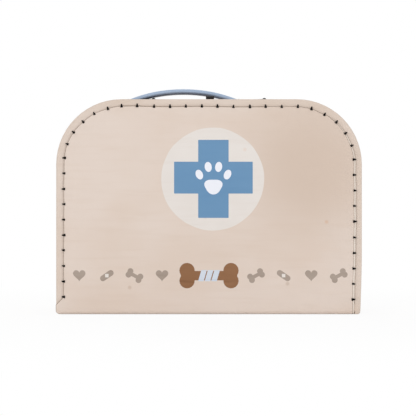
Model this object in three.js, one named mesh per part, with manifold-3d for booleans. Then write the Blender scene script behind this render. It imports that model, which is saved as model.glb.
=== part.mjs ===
// A child's toy vet kit: a stitched cardboard case that stands on its hinge side, with a bow handle on two
// wire rings, a small steel clasp, and play instruments in a die-cut card insert.
// Millimetres. X is the width, the front of the lid faces -Y, and Z is up from the floor.

import * as THREE from "three";
import { mergeVertices } from "three/addons/utils/BufferGeometryUtils.js";
import Module from "manifold-3d";

const wasm = await Module();
wasm.setup();

// The closed case.
const caseWidth = 300;
const caseHeight = 211;
const lidDepth = 42;
const baseDepth = 53;
const topCornerRadius = 64;
const bottomCornerRadius = 3.5;
const caseDepth = lidDepth + baseDepth;
const frontY = -caseDepth / 2;
const backY = caseDepth / 2;
const seamY = frontY + lidDepth;

// The board that both halves are folded and sewn from.
const boardThickness = 1.4;
const bottomFoldRadius = 4;
const bandFoldRadius = 1.8;
const seamInset = 7;
const flangeReach = 12;
const bandReturn = 12;
const cornerFoot = 9.4;
const cardGap = 0.2;
const seamGap = 0.6;

// The card collar inside the base, which the lid closes over.
const collarThickness = 1.2;
const collarInside = 7;
const collarReach = 8;
const collarLead = 1;
const collarClearance = 0.6;
const collarFootRadius = 0.5;

// The cloth strip that joins the halves along the bottom.
const tapeWidth = 12;
const tapeThickness = 0.5;
const tapeRebate = 0.65;
const tapeEndMargin = 8;

// Sheet metal, rivets and running fits.
const sheetThickness = 0.9;
const metalGap = 0.1;
const runningGap = 0.3;
const rivetShankRadius = 1.2;
const rivetHeadRadius = 1.9;
const rivetHeadHeight = 0.9;
const rivetTailRadius = 1.8;
const rivetTailHeight = 0.5;
const rivetFit = 0.12;

// The bow handle, its wire rings and their brackets. The brackets stay on the flat of the top, so the space
// between them is a share of the case's width.
const handle = {
  pivotSpacingShare: 0.38,
  rise: 10.25,
  endCurveRadius: 8,
  width: 20,
  endWidth: 12,
  taperLength: 30,
  thickness: 4.3,
  edgeRadius: 1.5,
  eyeRadius: 2.6,
  restGap: 0.3,
};
const pivotSpacing = caseWidth * handle.pivotSpacingShare;
const wireRadius = 1.1;
const ring = { length: 26.4, innerWidth: 16.4, cornerRadius: 2.5 };
const bracket = { eyeHeight: 4.2, length: 30, width: 11, rivetOffset: 9.6, endRadius: 4 };

// The clasp: a plate with two knuckles, a pin, a spring hasp, and a catch plate on the lid.
const clasp = {
  offset: 1,
  plateWidth: 18,
  plateStart: 0.8,
  plateLength: 12.4,
  knuckleY: 3,
  knuckleRadius: 1.7,
  pinRadius: 0.8,
  pinHeadRadius: 1.2,
  pinHeadLength: 0.6,
  pinFit: 0.12,
  haspWidth: 8.2,
  haspSideGap: 0.3,
  haspReach: 10,
  tabCurl: 2,
  tabHeight: 5.7,
  windowStart: 4,
  windowSize: 3.6,
  rivetX: 6.4,
  rivetY: 9.6,
  catchStart: 1,
  catchLength: 12,
  catchRivetY: 10.2,
  noseWidth: 3,
  noseHeight: 1.2,
  noseLength: 2.6,
  noseInset: 0.5,
  plateCorner: 1.5,
};

// The card insert that holds the instruments, measured from the back of the case.
const insert = { faceDepth: 20.5, thickness: 1.2, sideGap: 0.5, footGap: 0.3, lift: 2.5, slotGap: 0.3 };

// The instruments. Each starts at its own end and lies along X or Z. The places that must keep their room when
// the case is made in another size are shares of its width and height.
const syringe = {
  x: -72, zShare: 0.76, travel: 30,
  nozzleRadius: 3, nozzleLength: 12, nozzleBore: 1, coneLength: 5,
  barrelRadius: 12, boreRadius: 10, barrelLength: 72, endWall: 3,
  flangeRadius: 17, flangeThickness: 4,
  pistonLength: 9, pistonFit: 0.3, pistonGap: 1, rodRadius: 4, rodOut: 14,
  thumbRadius: 11, thumbThickness: 4,
};
const thermometer = {
  x: -62, zShare: 0.512, tipRadius: 2.6, tipLength: 16, neckLength: 8,
  bodyRadius: 7, bodyLength: 82, endRadius: 3,
};
const hammer = {
  x: -64, zShare: 0.266, gripRadius: 6.5, gripLength: 42, shaftRadius: 3.6, shaftLength: 82, taperLength: 8,
  headRadius: 10, headLength: 44, waistRadius: 7.5, waistLength: 14, capRound: 3,
  socketDepth: 6, socketFit: 0.2,
};
const otoscope = {
  xShare: -0.35, z: 30, gripRadius: 10, gripLength: 78, gripRound: 3, collarRadius: 7, collarLength: 8,
  headBack: 15, headRadius: 11, headLength: 20, coneLength: 22, coneBaseRadius: 8, tipRadius: 2.4,
  rimLength: 3, rimRadius: 12.5, seatGap: 0.3,
};
const bottle = {
  xShare: 0.36, z: 24, radius: 18, bodyLength: 44, baseRound: 3, shoulderLength: 8,
  neckRadius: 10, neckLength: 12, wall: 2,
  capRadius: 13, capLength: 14, capWall: 2, capFit: 0.3, capRound: 1.5,
};
const bandage = {
  xShare: 0.3, zShare: 0.664, radius: 19, width: 38, coreRadius: 6, endStep: 1.2, turns: 3,
};

// How finely curves are divided.
const cornerSteps = 14;
const smallCornerSteps = 3;
const foldSteps = 4;
const wireSides = 10;
const rivetSides = 12;
const turnedSides = 28;
const bowSteps = 18;
const endCurveSteps = 4;
const eyeSteps = 16;
const slopeSteps = 4;
const mergeDistance = 1e-4;

// One overrun serves every cut.
const overrun = 2;

const rightAngle = Math.PI / 2;
const vec2 = (x, y) => new THREE.Vector2(x, y);

// Merges the vertices of a closed geometry, drops empty triangles and makes the faces point out.
function closedGeometry(geometry) {
  const bare = new THREE.BufferGeometry();
  bare.setAttribute("position", geometry.getAttribute("position"));
  bare.setIndex(geometry.index);
  const merged = mergeVertices(bare, mergeDistance);
  const position = merged.getAttribute("position");
  const corner = [new THREE.Vector3(), new THREE.Vector3(), new THREE.Vector3()];
  const kept = [];
  let volume = 0;
  for (let i = 0; i < merged.index.count; i += corner.length) {
    const [a, b, c] = corner.map((_, k) => merged.index.getX(i + k));
    if (a === b || b === c || c === a) continue;
    corner[0].fromBufferAttribute(position, a);
    corner[1].fromBufferAttribute(position, b);
    corner[2].fromBufferAttribute(position, c);
    volume += corner[0].dot(corner[1].cross(corner[2]));
    kept.push([a, b, c]);
  }
  if (volume < 0) kept.forEach((triangle) => triangle.reverse());
  merged.setIndex(kept.flat());
  return merged;
}

// A solid that can be joined and cut.
function solidOf(geometry) {
  const closed = closedGeometry(geometry);
  const vertProperties = new Float32Array(closed.getAttribute("position").array);
  const triVerts = new Uint32Array(closed.index.array);
  return new wasm.Manifold(new wasm.Mesh({ numProp: 3, vertProperties, triVerts }));
}

// The solid's surface as a three.js geometry.
function geometryOf(solid) {
  const { vertProperties, triVerts } = solid.getMesh();
  const geometry = new THREE.BufferGeometry();
  geometry.setAttribute("position", new THREE.BufferAttribute(vertProperties, 3));
  geometry.setIndex(new THREE.BufferAttribute(triVerts, 1));
  return geometry;
}

// Points on an arc, both ends included.
function arcPoints(centreX, centreY, radius, from, to, steps) {
  return Array.from({ length: steps + 1 }, (_, i) => {
    const angle = from + ((to - from) * i) / steps;
    return vec2(centreX + radius * Math.cos(angle), centreY + radius * Math.sin(angle));
  });
}

// A rectangle between two corners.
function rectangle(x0, y0, x1, y1) {
  return [vec2(x0, y0), vec2(x1, y0), vec2(x1, y1), vec2(x0, y1)];
}

// A rectangle with round corners, centred on a point.
function roundedRectangle(centreX, centreY, width, height, radius, steps) {
  const dx = width / 2 - radius;
  const dy = height / 2 - radius;
  return [
    ...arcPoints(centreX + dx, centreY + dy, radius, 0, rightAngle, steps),
    ...arcPoints(centreX - dx, centreY + dy, radius, rightAngle, 2 * rightAngle, steps),
    ...arcPoints(centreX - dx, centreY - dy, radius, 2 * rightAngle, 3 * rightAngle, steps),
    ...arcPoints(centreX + dx, centreY - dy, radius, 3 * rightAngle, 4 * rightAngle, steps),
  ];
}

// An outline extruded along Z, its points given as x and y.
function alongZ(points, from, to) {
  const depth = to - from;
  const geometry = new THREE.ExtrudeGeometry(new THREE.Shape(points), { depth, bevelEnabled: false });
  return geometry.translate(0, 0, from);
}

// An outline extruded along Y, its points given as x and z.
function alongY(points, from, to) {
  return alongZ(points, 0, to - from).rotateX(rightAngle).translate(0, to, 0);
}

// An outline extruded along X, its points given as y and z.
function alongX(points, from, to) {
  const xAxis = new THREE.Vector3(1, 0, 0);
  const yAxis = new THREE.Vector3(0, 1, 0);
  const zAxis = new THREE.Vector3(0, 0, 1);
  return alongZ(points, from, to).applyMatrix4(new THREE.Matrix4().makeBasis(yAxis, zAxis, xAxis));
}

// A closed solid through rings of equally many points, with flat ends.
function loft(rings) {
  const count = rings[0].length;
  const positions = rings.flat().flatMap((point) => point.toArray());
  const index = [];
  for (let level = 0; level + 1 < rings.length; level += 1) {
    for (let i = 0; i < count; i += 1) {
      const a = level * count + i;
      const b = level * count + ((i + 1) % count);
      index.push(a, b, a + count, b, b + count, a + count);
    }
  }
  const last = (rings.length - 1) * count;
  for (let i = 1; i + 1 < count; i += 1) {
    index.push(0, i + 1, i, last, last + i, last + i + 1);
  }
  const geometry = new THREE.BufferGeometry();
  geometry.setAttribute("position", new THREE.Float32BufferAttribute(positions, 3));
  geometry.setIndex(index);
  return geometry;
}

// Outlines of equally many points, each at its own place along Y, joined into one solid.
function stackAlongY(levels) {
  return loft(levels.map(({ outline, y }) => {
    return outline.map((point) => new THREE.Vector3(point.x, y, point.y));
  }));
}

// A shape turned about an axis through the origin, from points given as radius and height.
function turned(points, sides = turnedSides) {
  return new THREE.LatheGeometry(points, sides);
}

const turnedAlongX = (points, sides) => turned(points, sides).rotateZ(-rightAngle);
const turnedAlongZ = (points, sides) => turned(points, sides).rotateX(rightAngle);

// A plain cylinder from one place to another on its axis.
function rod(radius, from, to) {
  return [vec2(0, from), vec2(radius, from), vec2(radius, to), vec2(0, to)];
}

// The outline of a bent sheet of even thickness, from the line through its middle.
function bentSheet(line, thickness) {
  const normals = line.map((_, i) => {
    const before = line[Math.max(i - 1, 0)];
    const after = line[Math.min(i + 1, line.length - 1)];
    const along = after.clone().sub(before).normalize();
    return vec2(-along.y, along.x).multiplyScalar(thickness / 2);
  });
  const left = line.map((point, i) => point.clone().add(normals[i]));
  const right = line.map((point, i) => point.clone().sub(normals[i]));
  return [...left, ...right.reverse()];
}

// The outline of the case from the front, drawn in by an inset, with its own bottom and bottom corners.
function caseOutline(inset, bottom, footRadius) {
  const half = caseWidth / 2 - inset;
  const top = caseHeight - inset;
  const radius = topCornerRadius - inset;
  const foot = bottom + footRadius;
  return [
    ...arcPoints(footRadius - half, foot, footRadius, 3 * rightAngle, 2 * rightAngle, smallCornerSteps),
    ...arcPoints(radius - half, top - radius, radius, 2 * rightAngle, rightAngle, cornerSteps),
    ...arcPoints(half - radius, top - radius, radius, rightAngle, 0, cornerSteps),
    ...arcPoints(half - footRadius, foot, footRadius, 0, -rightAngle, smallCornerSteps),
  ];
}

// The cut sheet of a panel: drawn in along the seam. On one side it widens at the foot to the full width, with
// a diagonal cut, and on the other it runs straight down beside the foot of the band.
function panelOutline() {
  const half = caseWidth / 2;
  const seamHalf = half - seamInset;
  const top = caseHeight - seamInset;
  const radius = topCornerRadius - seamInset;
  const foot = bottomCornerRadius;
  return [
    ...arcPoints(foot - half, foot, foot, 3 * rightAngle, 2 * rightAngle, smallCornerSteps),
    vec2(-half, cornerFoot),
    vec2(-seamHalf, cornerFoot + seamInset),
    ...arcPoints(radius - seamHalf, top - radius, radius, 2 * rightAngle, rightAngle, cornerSteps),
    ...arcPoints(seamHalf - radius, top - radius, radius, rightAngle, 0, cornerSteps),
    vec2(seamHalf, 0),
  ];
}

// Both halves are made from their outer face, at y = 0, inwards. The band lies this far under the sheet.
const underSheet = boardThickness + cardGap;
const bandFloor = underSheet + boardThickness;

// The face and bottom of a half: one sheet, folded under at the foot, with a rebate for the cloth strip.
function panelSheet(depth) {
  const fold = bottomFoldRadius;
  const inner = fold - boardThickness;
  const profile = [
    vec2(0, caseHeight),
    ...arcPoints(fold, fold, fold, 2 * rightAngle, 3 * rightAngle, foldSteps),
    vec2(depth - tapeWidth, 0),
    vec2(depth - tapeWidth, tapeRebate),
    vec2(depth, tapeRebate),
    vec2(depth, boardThickness),
    ...arcPoints(fold, fold, inner, 3 * rightAngle, 2 * rightAngle, foldSteps),
    vec2(boardThickness, caseHeight),
  ];
  const folded = solidOf(alongX(profile, -caseWidth, caseWidth));
  return geometryOf(folded.intersect(solidOf(alongY(panelOutline(), 0, depth))));
}

// The band's shell over one bottom: the strip bent round the top, with its front edge folded in as the flange
// that the sheet is sewn to, and both ends folded in under the case.
function bandShell(depth, bottom) {
  const rounding = Array.from({ length: foldSteps + 1 }, (_, i) => {
    const angle = (rightAngle * i) / foldSteps;
    const inset = bandFoldRadius * (1 - Math.sin(angle));
    return { inset, y: underSheet + bandFoldRadius * (1 - Math.cos(angle)) };
  });
  const levels = [...rounding, { inset: 0, y: depth }].map(({ inset, y }) => {
    return { outline: caseOutline(inset, bottom + inset, bottomCornerRadius), y };
  });
  const floor = bottom + boardThickness;
  const innerFoot = bottomCornerRadius - boardThickness;
  const hollow = caseOutline(boardThickness, floor, innerFoot);
  const window = caseOutline(flangeReach, floor, innerFoot);
  const half = caseWidth / 2 - bandReturn;
  const open = rectangle(-half, -overrun, half, bandFloor + overrun);
  let shell = solidOf(stackAlongY(levels));
  shell = shell.subtract(solidOf(alongY(hollow, underSheet + boardThickness, depth + overrun)));
  shell = shell.subtract(solidOf(alongY(window, -overrun, bandFloor + overrun)));
  return shell.subtract(solidOf(alongY(open, -overrun, depth + overrun)));
}

// The side band: its left foot ends on the folded sheet, and its right foot stands on the floor beside it.
function sideBand(depth, rivetPlaces) {
  const nest = [
    vec2(depth + overrun, caseHeight + overrun),
    vec2(underSheet, caseHeight + overrun),
    ...arcPoints(bottomFoldRadius, bottomFoldRadius, bottomFoldRadius - underSheet,
      2 * rightAngle, 3 * rightAngle, foldSteps),
    vec2(depth + overrun, underSheet),
  ];
  const onSheet = solidOf(alongX(nest, -caseWidth, caseWidth));
  const edge = caseWidth / 2 - seamInset + cardGap;
  const beside = solidOf(alongY(rectangle(edge, -overrun, caseWidth, caseHeight), 0, depth + overrun));
  const block = (from, to) => {
    return solidOf(alongY(rectangle(from, -overrun, to, caseHeight + overrun), 0, depth + overrun));
  };
  const left = bandShell(depth, underSheet).intersect(onSheet).intersect(block(-caseWidth, 0));
  const right = bandShell(depth, 0).intersect(onSheet.add(beside)).intersect(block(0, caseWidth));
  let band = left.add(right);
  for (const { x, y } of rivetPlaces) {
    const hole = rod(rivetShankRadius + rivetFit, caseHeight - bandFloor - overrun, caseHeight + overrun);
    band = band.subtract(solidOf(turnedAlongZ(hole, rivetSides).translate(x, y, 0)));
  }
  return geometryOf(band);
}

// The collar in the base: glued in along its root, drawn in past the seam so that the lid slides over it.
function collar() {
  const glued = boardThickness + cardGap;
  const free = boardThickness + collarClearance;
  const foot = bandFloor + bottomCornerRadius;
  const levels = [
    { inset: glued, y: baseDepth - collarInside },
    { inset: glued, y: baseDepth - collarLead },
    { inset: free, y: baseDepth },
    { inset: free, y: baseDepth + collarReach - collarLead },
    { inset: free + collarClearance, y: baseDepth + collarReach },
  ].map(({ inset, y }) => ({ outline: caseOutline(inset, foot, collarFootRadius), y }));
  const inside = caseOutline(free + collarThickness, -overrun, collarFootRadius);
  const cut = alongY(inside, baseDepth - collarInside - overrun, baseDepth + collarReach + overrun);
  return geometryOf(solidOf(stackAlongY(levels)).subtract(solidOf(cut)));
}

// One half of the cloth hinge, in its rebate.
function hingeTape(depth) {
  const half = caseWidth / 2 - tapeEndMargin;
  const profile = rectangle(depth - tapeWidth + cardGap, 0, depth, tapeThickness);
  return alongX(profile, -half, half);
}

// A rivet through sheet metal and the band, its head up and the origin under the head.
function rivet() {
  const grip = sheetThickness + metalGap + boardThickness + metalGap;
  const head = arcPoints(0, 0, 1, 0, rightAngle, foldSteps).map((point) => {
    return vec2(point.x * rivetHeadRadius, point.y * rivetHeadHeight);
  });
  const points = [
    vec2(0, -grip - rivetTailHeight),
    vec2(rivetTailRadius, -grip - rivetTailHeight),
    vec2(rivetTailRadius, -grip),
    vec2(rivetShankRadius, -grip),
    vec2(rivetShankRadius, 0),
    ...head,
  ];
  points[points.length - 1].x = 0;
  return turnedAlongZ(points, rivetSides);
}

const rivetSeat = caseHeight + metalGap + sheetThickness + metalGap;

// A hole for a rivet, up through sheet metal.
function rivetHole(x, y) {
  const hole = rod(rivetShankRadius + rivetFit, -overrun, sheetThickness + overrun);
  return solidOf(turnedAlongZ(hole, rivetSides).translate(x, y, 0));
}

// The bracket: a strap bent up over the wire and down again, riveted at both feet. Its foot is at z = 0.
function handleBracket() {
  const eyeInner = wireRadius + runningGap;
  const middle = eyeInner + sheetThickness / 2;
  const half = bracket.length / 2;
  const flat = sheetThickness / 2;
  const bend = sheetThickness;
  const line = [
    vec2(-half, flat),
    ...arcPoints(-middle - bend, flat + bend, bend, 3 * rightAngle, 4 * rightAngle, foldSteps),
    ...arcPoints(0, bracket.eyeHeight, middle, 2 * rightAngle, 0, eyeSteps),
    ...arcPoints(middle + bend, flat + bend, bend, 2 * rightAngle, 3 * rightAngle, foldSteps),
    vec2(half, flat),
  ];
  const width = bracket.width;
  const plan = roundedRectangle(0, 0, bracket.length, width, bracket.endRadius, smallCornerSteps);
  const strap = solidOf(alongY(bentSheet(line, sheetThickness), -width / 2, width / 2));
  let solid = strap.intersect(solidOf(alongZ(plan, -overrun, bracket.eyeHeight + ring.length)));
  solid = solid.subtract(rivetHole(-bracket.rivetOffset, 0)).subtract(rivetHole(bracket.rivetOffset, 0));
  return geometryOf(solid);
}

// A closed wire loop, flat in the XY plane: the first crossbar lies on the Y axis, the second on x = length.
function wireRing() {
  const width = ring.innerWidth + 2 * wireRadius;
  const path = roundedRectangle(ring.length / 2, 0, ring.length, width, ring.cornerRadius, smallCornerSteps);
  const count = path.length;
  const positions = [];
  const index = [];
  path.forEach((point, i) => {
    const along = path[(i + 1) % count].clone().sub(path[(i + count - 1) % count]).normalize();
    for (let k = 0; k < wireSides; k += 1) {
      const angle = (4 * rightAngle * k) / wireSides;
      const out = wireRadius * Math.cos(angle);
      positions.push(point.x + out * along.y, point.y - out * along.x, wireRadius * Math.sin(angle));
      const a = i * wireSides + k;
      const b = i * wireSides + ((k + 1) % wireSides);
      const shift = i + 1 < count ? wireSides : wireSides - count * wireSides;
      index.push(a, b, a + shift, b, b + shift, a + shift);
    }
  });
  const geometry = new THREE.BufferGeometry();
  geometry.setAttribute("position", new THREE.Float32BufferAttribute(positions, 3));
  geometry.setIndex(index);
  return geometry;
}

// The middle line of the bow: an arc that ends in a reverse curve, level at each eye. It gives the place and
// the slope at a distance from the middle, and the origin lies between the eyes.
function bowLine() {
  const half = pivotSpacing / 2;
  const reach = 2 * Math.atan(handle.rise / half);
  const bowRadius = half / Math.sin(reach) - handle.endCurveRadius;
  const bowLength = bowRadius * reach;
  const length = bowLength + handle.endCurveRadius * reach;
  const at = (distance) => {
    const far = Math.abs(distance);
    const side = Math.sign(distance);
    if (far <= bowLength) {
      const angle = far / bowRadius;
      const z = handle.rise - bowRadius * (1 - Math.cos(angle));
      return { x: side * bowRadius * Math.sin(angle), z, slope: side * angle };
    }
    const angle = (length - far) / handle.endCurveRadius;
    const z = handle.endCurveRadius * (1 - Math.cos(angle));
    return { x: side * (half - handle.endCurveRadius * Math.sin(angle)), z, slope: side * angle };
  };
  return { bowLength, length, at };
}

// The bow of the handle, between two eyes for the rings.
function bowHandle() {
  const { width, endWidth, taperLength, thickness, edgeRadius, eyeRadius } = handle;
  const half = pivotSpacing / 2;
  const { bowLength, length, at } = bowLine();
  const endStep = (length - bowLength) / endCurveSteps;
  const end = Array.from({ length: endCurveSteps }, (_, i) => length - endStep * i);
  const middle = Array.from({ length: bowSteps + 1 }, (_, i) => bowLength * ((2 * i) / bowSteps - 1));
  const distances = [...end.map((distance) => -distance), ...middle, ...end.toReversed()];
  const rings = distances.map((distance) => {
    const { x, z, slope } = at(distance);
    const fromEnd = length - Math.abs(distance);
    const across = THREE.MathUtils.smoothstep(fromEnd, 0, taperLength) * (width - endWidth) + endWidth;
    const section = roundedRectangle(0, 0, across, thickness, edgeRadius, smallCornerSteps);
    return section.map((point) => {
      return new THREE.Vector3(x + point.y * Math.sin(slope), point.x, z + point.y * Math.cos(slope));
    });
  });
  let solid = solidOf(loft(rings));
  for (const x of [-half, half]) {
    const eye = turned(rod(eyeRadius, -endWidth / 2, endWidth / 2), eyeSteps).translate(x, 0, 0);
    solid = solid.add(solidOf(eye));
  }
  for (const x of [-half, half]) {
    const hole = turned(rod(wireRadius + runningGap, -width, width), eyeSteps).translate(x, 0, 0);
    solid = solid.subtract(solidOf(hole));
  }
  return geometryOf(solid);
}

// The clasp pieces are made with the seam at y = 0, the case top at z = 0 and the base towards +Y.
function claspPlate() {
  const { plateWidth, plateStart, plateLength, knuckleY, knuckleRadius, plateCorner } = clasp;
  const half = plateWidth / 2;
  const centre = plateStart + plateLength / 2;
  const plan = roundedRectangle(0, centre, plateWidth, plateLength, plateCorner, smallCornerSteps);
  const gap = clasp.haspWidth / 2 + clasp.haspSideGap;
  const barrel = (radius, from, to) => {
    return solidOf(turnedAlongX(rod(radius, from, to), eyeSteps).translate(0, knuckleY, knuckleRadius));
  };
  const middle = alongX(rectangle(-overrun, -overrun, knuckleY + knuckleRadius + runningGap,
    2 * knuckleRadius + overrun), -gap, gap);
  let solid = solidOf(alongZ(plan, 0, sheetThickness)).add(barrel(knuckleRadius, -half, half));
  solid = solid.subtract(solidOf(middle));
  solid = solid.subtract(barrel(clasp.pinRadius + clasp.pinFit, -plateWidth, plateWidth));
  solid = solid.subtract(rivetHole(-clasp.rivetX, clasp.rivetY));
  solid = solid.subtract(rivetHole(clasp.rivetX, clasp.rivetY));
  return geometryOf(solid);
}

// The pin, headed at both ends.
function claspPin() {
  const { pinRadius, pinHeadRadius } = clasp;
  const half = clasp.plateWidth / 2 + metalGap;
  const end = half + clasp.pinHeadLength;
  const points = [
    vec2(0, -end), vec2(pinHeadRadius, -end), vec2(pinHeadRadius, -half), vec2(pinRadius, -half),
    vec2(pinRadius, half), vec2(pinHeadRadius, half), vec2(pinHeadRadius, end), vec2(0, end),
  ];
  return turnedAlongX(points, rivetSides).translate(0, clasp.knuckleY, clasp.knuckleRadius);
}

// The hasp: a leaf from the pin over the seam, with a window for the nose and a curled finger tab.
function claspHasp() {
  const { knuckleY, knuckleRadius, haspWidth, haspReach, tabCurl, tabHeight } = clasp;
  const { windowStart, windowSize } = clasp;
  const half = haspWidth / 2;
  const level = 2 * knuckleRadius - sheetThickness / 2;
  const line = [
    vec2(knuckleY, level),
    ...arcPoints(-haspReach, level + tabCurl, tabCurl, 3 * rightAngle, 2 * rightAngle, 2 * foldSteps),
    vec2(-haspReach - tabCurl, tabHeight),
  ];
  const barrel = (radius, length) => {
    return solidOf(turnedAlongX(rod(radius, -length, length), eyeSteps).translate(0, knuckleY, knuckleRadius));
  };
  const windowPlan = rectangle(-windowSize / 2, -windowStart - windowSize, windowSize / 2, -windowStart);
  let solid = solidOf(alongX(bentSheet(line, sheetThickness), -half, half)).add(barrel(knuckleRadius, half));
  solid = solid.subtract(barrel(clasp.pinRadius + clasp.pinFit, haspWidth));
  solid = solid.subtract(solidOf(alongZ(windowPlan, 0, tabHeight)));
  return geometryOf(solid);
}

// The catch plate on the lid, with the low nose that the hasp springs over.
function catchPlate() {
  const { plateWidth, catchStart, catchLength, plateCorner } = clasp;
  const { noseWidth, noseHeight, noseLength, noseInset } = clasp;
  const centre = -catchStart - catchLength / 2;
  const plan = roundedRectangle(0, centre, plateWidth, catchLength, plateCorner, smallCornerSteps);
  const noseBack = -clasp.windowStart - noseInset;
  const noseFront = noseBack - noseLength;
  const top = sheetThickness + noseHeight;
  const nose = [
    vec2(noseBack, 0), vec2(noseBack, top), vec2(noseBack - noseLength / 2, top), vec2(noseFront, 0),
  ];
  let solid = solidOf(alongZ(plan, 0, sheetThickness));
  solid = solid.add(solidOf(alongX(nose, -noseWidth / 2, noseWidth / 2)));
  solid = solid.subtract(rivetHole(-clasp.rivetX, -clasp.catchRivetY));
  solid = solid.subtract(rivetHole(clasp.rivetX, -clasp.catchRivetY));
  return geometryOf(solid);
}

// Outer profiles of the turned instruments, as radius and distance along the axis.
const syringeBarrelEnd = syringe.nozzleLength + syringe.coneLength + syringe.barrelLength;
const syringeEnd = syringeBarrelEnd + syringe.flangeThickness;

function syringeOutside() {
  const { nozzleRadius, nozzleLength, coneLength, barrelRadius, flangeRadius } = syringe;
  return [
    vec2(nozzleRadius, 0), vec2(nozzleRadius, nozzleLength),
    vec2(barrelRadius, nozzleLength + coneLength), vec2(barrelRadius, syringeBarrelEnd),
    vec2(flangeRadius, syringeBarrelEnd), vec2(flangeRadius, syringeEnd),
  ];
}

// The barrel is bored from its open end, and the nozzle right through.
function syringeBarrel() {
  const { nozzleBore, boreRadius, nozzleLength, coneLength, endWall } = syringe;
  const floor = nozzleLength + coneLength + endWall;
  const inside = [
    vec2(boreRadius, syringeEnd), vec2(boreRadius, floor), vec2(nozzleBore, floor), vec2(nozzleBore, 0),
  ];
  const outside = syringeOutside();
  return turnedAlongX([...outside, ...inside, outside[0]]);
}

// The plunger, pushed home.
const plungerStart = syringe.nozzleLength + syringe.coneLength + syringe.endWall + syringe.pistonGap;
const thumbStart = syringeEnd + syringe.rodOut;

function syringePlunger() {
  const { boreRadius, pistonFit, pistonLength, rodRadius, thumbRadius, thumbThickness } = syringe;
  const piston = boreRadius - pistonFit;
  return turnedAlongX([
    vec2(0, plungerStart), vec2(piston, plungerStart), vec2(piston, plungerStart + pistonLength),
    vec2(rodRadius, plungerStart + pistonLength), vec2(rodRadius, thumbStart), vec2(thumbRadius, thumbStart),
    vec2(thumbRadius, thumbStart + thumbThickness), vec2(0, thumbStart + thumbThickness),
  ]);
}

// The room that the rod and thumb disc sweep.
function plungerSweep() {
  const { rodRadius, thumbRadius, thumbThickness, travel } = syringe;
  const end = thumbStart + thumbThickness + travel;
  return [
    vec2(rodRadius, syringeEnd), vec2(rodRadius, thumbStart),
    vec2(thumbRadius, thumbStart), vec2(thumbRadius, end),
  ];
}

function thermometerOutside() {
  const { tipRadius, tipLength, neckLength, bodyRadius, bodyLength, endRadius } = thermometer;
  const bodyStart = tipLength + neckLength;
  const end = bodyStart + bodyLength;
  return [
    ...arcPoints(0, tipRadius, tipRadius, -rightAngle, 0, foldSteps),
    vec2(tipRadius, tipLength),
    vec2(bodyRadius, bodyStart),
    ...arcPoints(bodyRadius - endRadius, end - endRadius, endRadius, 0, rightAngle, foldSteps),
  ];
}

function hammerHandleOutside() {
  const { gripRadius, gripLength, shaftRadius, shaftLength, taperLength, socketDepth, headRadius } = hammer;
  const end = gripLength + shaftLength;
  return [
    ...arcPoints(gripRadius / 2, gripRadius / 2, gripRadius / 2, -rightAngle, 0, foldSteps),
    vec2(gripRadius, gripLength),
    vec2(shaftRadius, gripLength + taperLength),
    vec2(shaftRadius, end - headRadius + socketDepth),
  ];
}

// The rubber head, waisted where the handle enters it.
function hammerHeadOutside() {
  const { headRadius, headLength, waistRadius, waistLength, capRound } = hammer;
  const half = headLength / 2;
  const waist = waistLength / 2;
  return [
    ...arcPoints(headRadius - capRound, capRound - half, capRound, -rightAngle, 0, foldSteps),
    vec2(headRadius, -waist - capRound),
    vec2(waistRadius, -waist),
    vec2(waistRadius, waist),
    vec2(headRadius, waist + capRound),
    ...arcPoints(headRadius - capRound, half - capRound, capRound, 0, rightAngle, foldSteps),
  ];
}

const hammerHeadX = hammer.x + hammer.gripLength + hammer.shaftLength;

function otoscopeGripOutside() {
  const { gripRadius, gripLength, gripRound, collarRadius, collarLength } = otoscope;
  return [
    ...arcPoints(gripRadius - gripRound, gripRound, gripRound, -rightAngle, 0, foldSteps),
    ...arcPoints(gripRadius - gripRound, gripLength - gripRound, gripRound, 0, rightAngle, foldSteps),
    vec2(collarRadius, gripLength),
    vec2(collarRadius, gripLength + collarLength),
  ];
}

const places = {
  syringe: { x: syringe.x, z: caseHeight * syringe.zShare },
  thermometer: { x: thermometer.x, z: caseHeight * thermometer.zShare },
  hammer: { x: hammer.x, z: caseHeight * hammer.zShare },
  otoscope: { x: caseWidth * otoscope.xShare, z: otoscope.z },
  bottle: { x: caseWidth * bottle.xShare, z: bottle.z },
  bandage: { x: caseWidth * bandage.xShare, z: caseHeight * bandage.zShare },
};
const otoscopeSeatZ = otoscope.z + otoscope.gripLength + otoscope.collarLength;
const otoscopeHeadZ = otoscopeSeatZ + otoscope.headRadius + otoscope.seatGap;
const otoscopeHeadX = places.otoscope.x - otoscope.headBack;

function otoscopeHeadOutside() {
  const { headRadius, headLength, coneLength, coneBaseRadius, tipRadius, rimLength, rimRadius } = otoscope;
  const coneStart = rimLength + headLength;
  return [
    vec2(rimRadius, 0), vec2(rimRadius, rimLength), vec2(headRadius, rimLength),
    vec2(headRadius, coneStart), vec2(coneBaseRadius, coneStart), vec2(tipRadius, coneStart + coneLength),
  ];
}

function bottleOutside() {
  const { radius, bodyLength, baseRound, shoulderLength, neckRadius, neckLength } = bottle;
  return [
    ...arcPoints(radius - baseRound, baseRound, baseRound, -rightAngle, 0, foldSteps),
    vec2(radius, bodyLength),
    vec2(neckRadius, bodyLength + shoulderLength),
    vec2(neckRadius, bodyLength + shoulderLength + neckLength),
  ];
}

// The bottle is hollow, open at the neck.
function bottleBody() {
  const { radius, bodyLength, shoulderLength, neckRadius, neckLength, wall } = bottle;
  const top = bodyLength + shoulderLength + neckLength;
  const outside = bottleOutside();
  outside[0].x = 0;
  const inside = [
    vec2(neckRadius - wall, top), vec2(neckRadius - wall, bodyLength + shoulderLength),
    vec2(radius - wall, bodyLength), vec2(radius - wall, wall), vec2(0, wall),
  ];
  return turnedAlongZ([...outside, ...inside]);
}

const bottleCapZ = bottle.z + bottle.bodyLength + bottle.shoulderLength + bottle.capFit;

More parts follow.
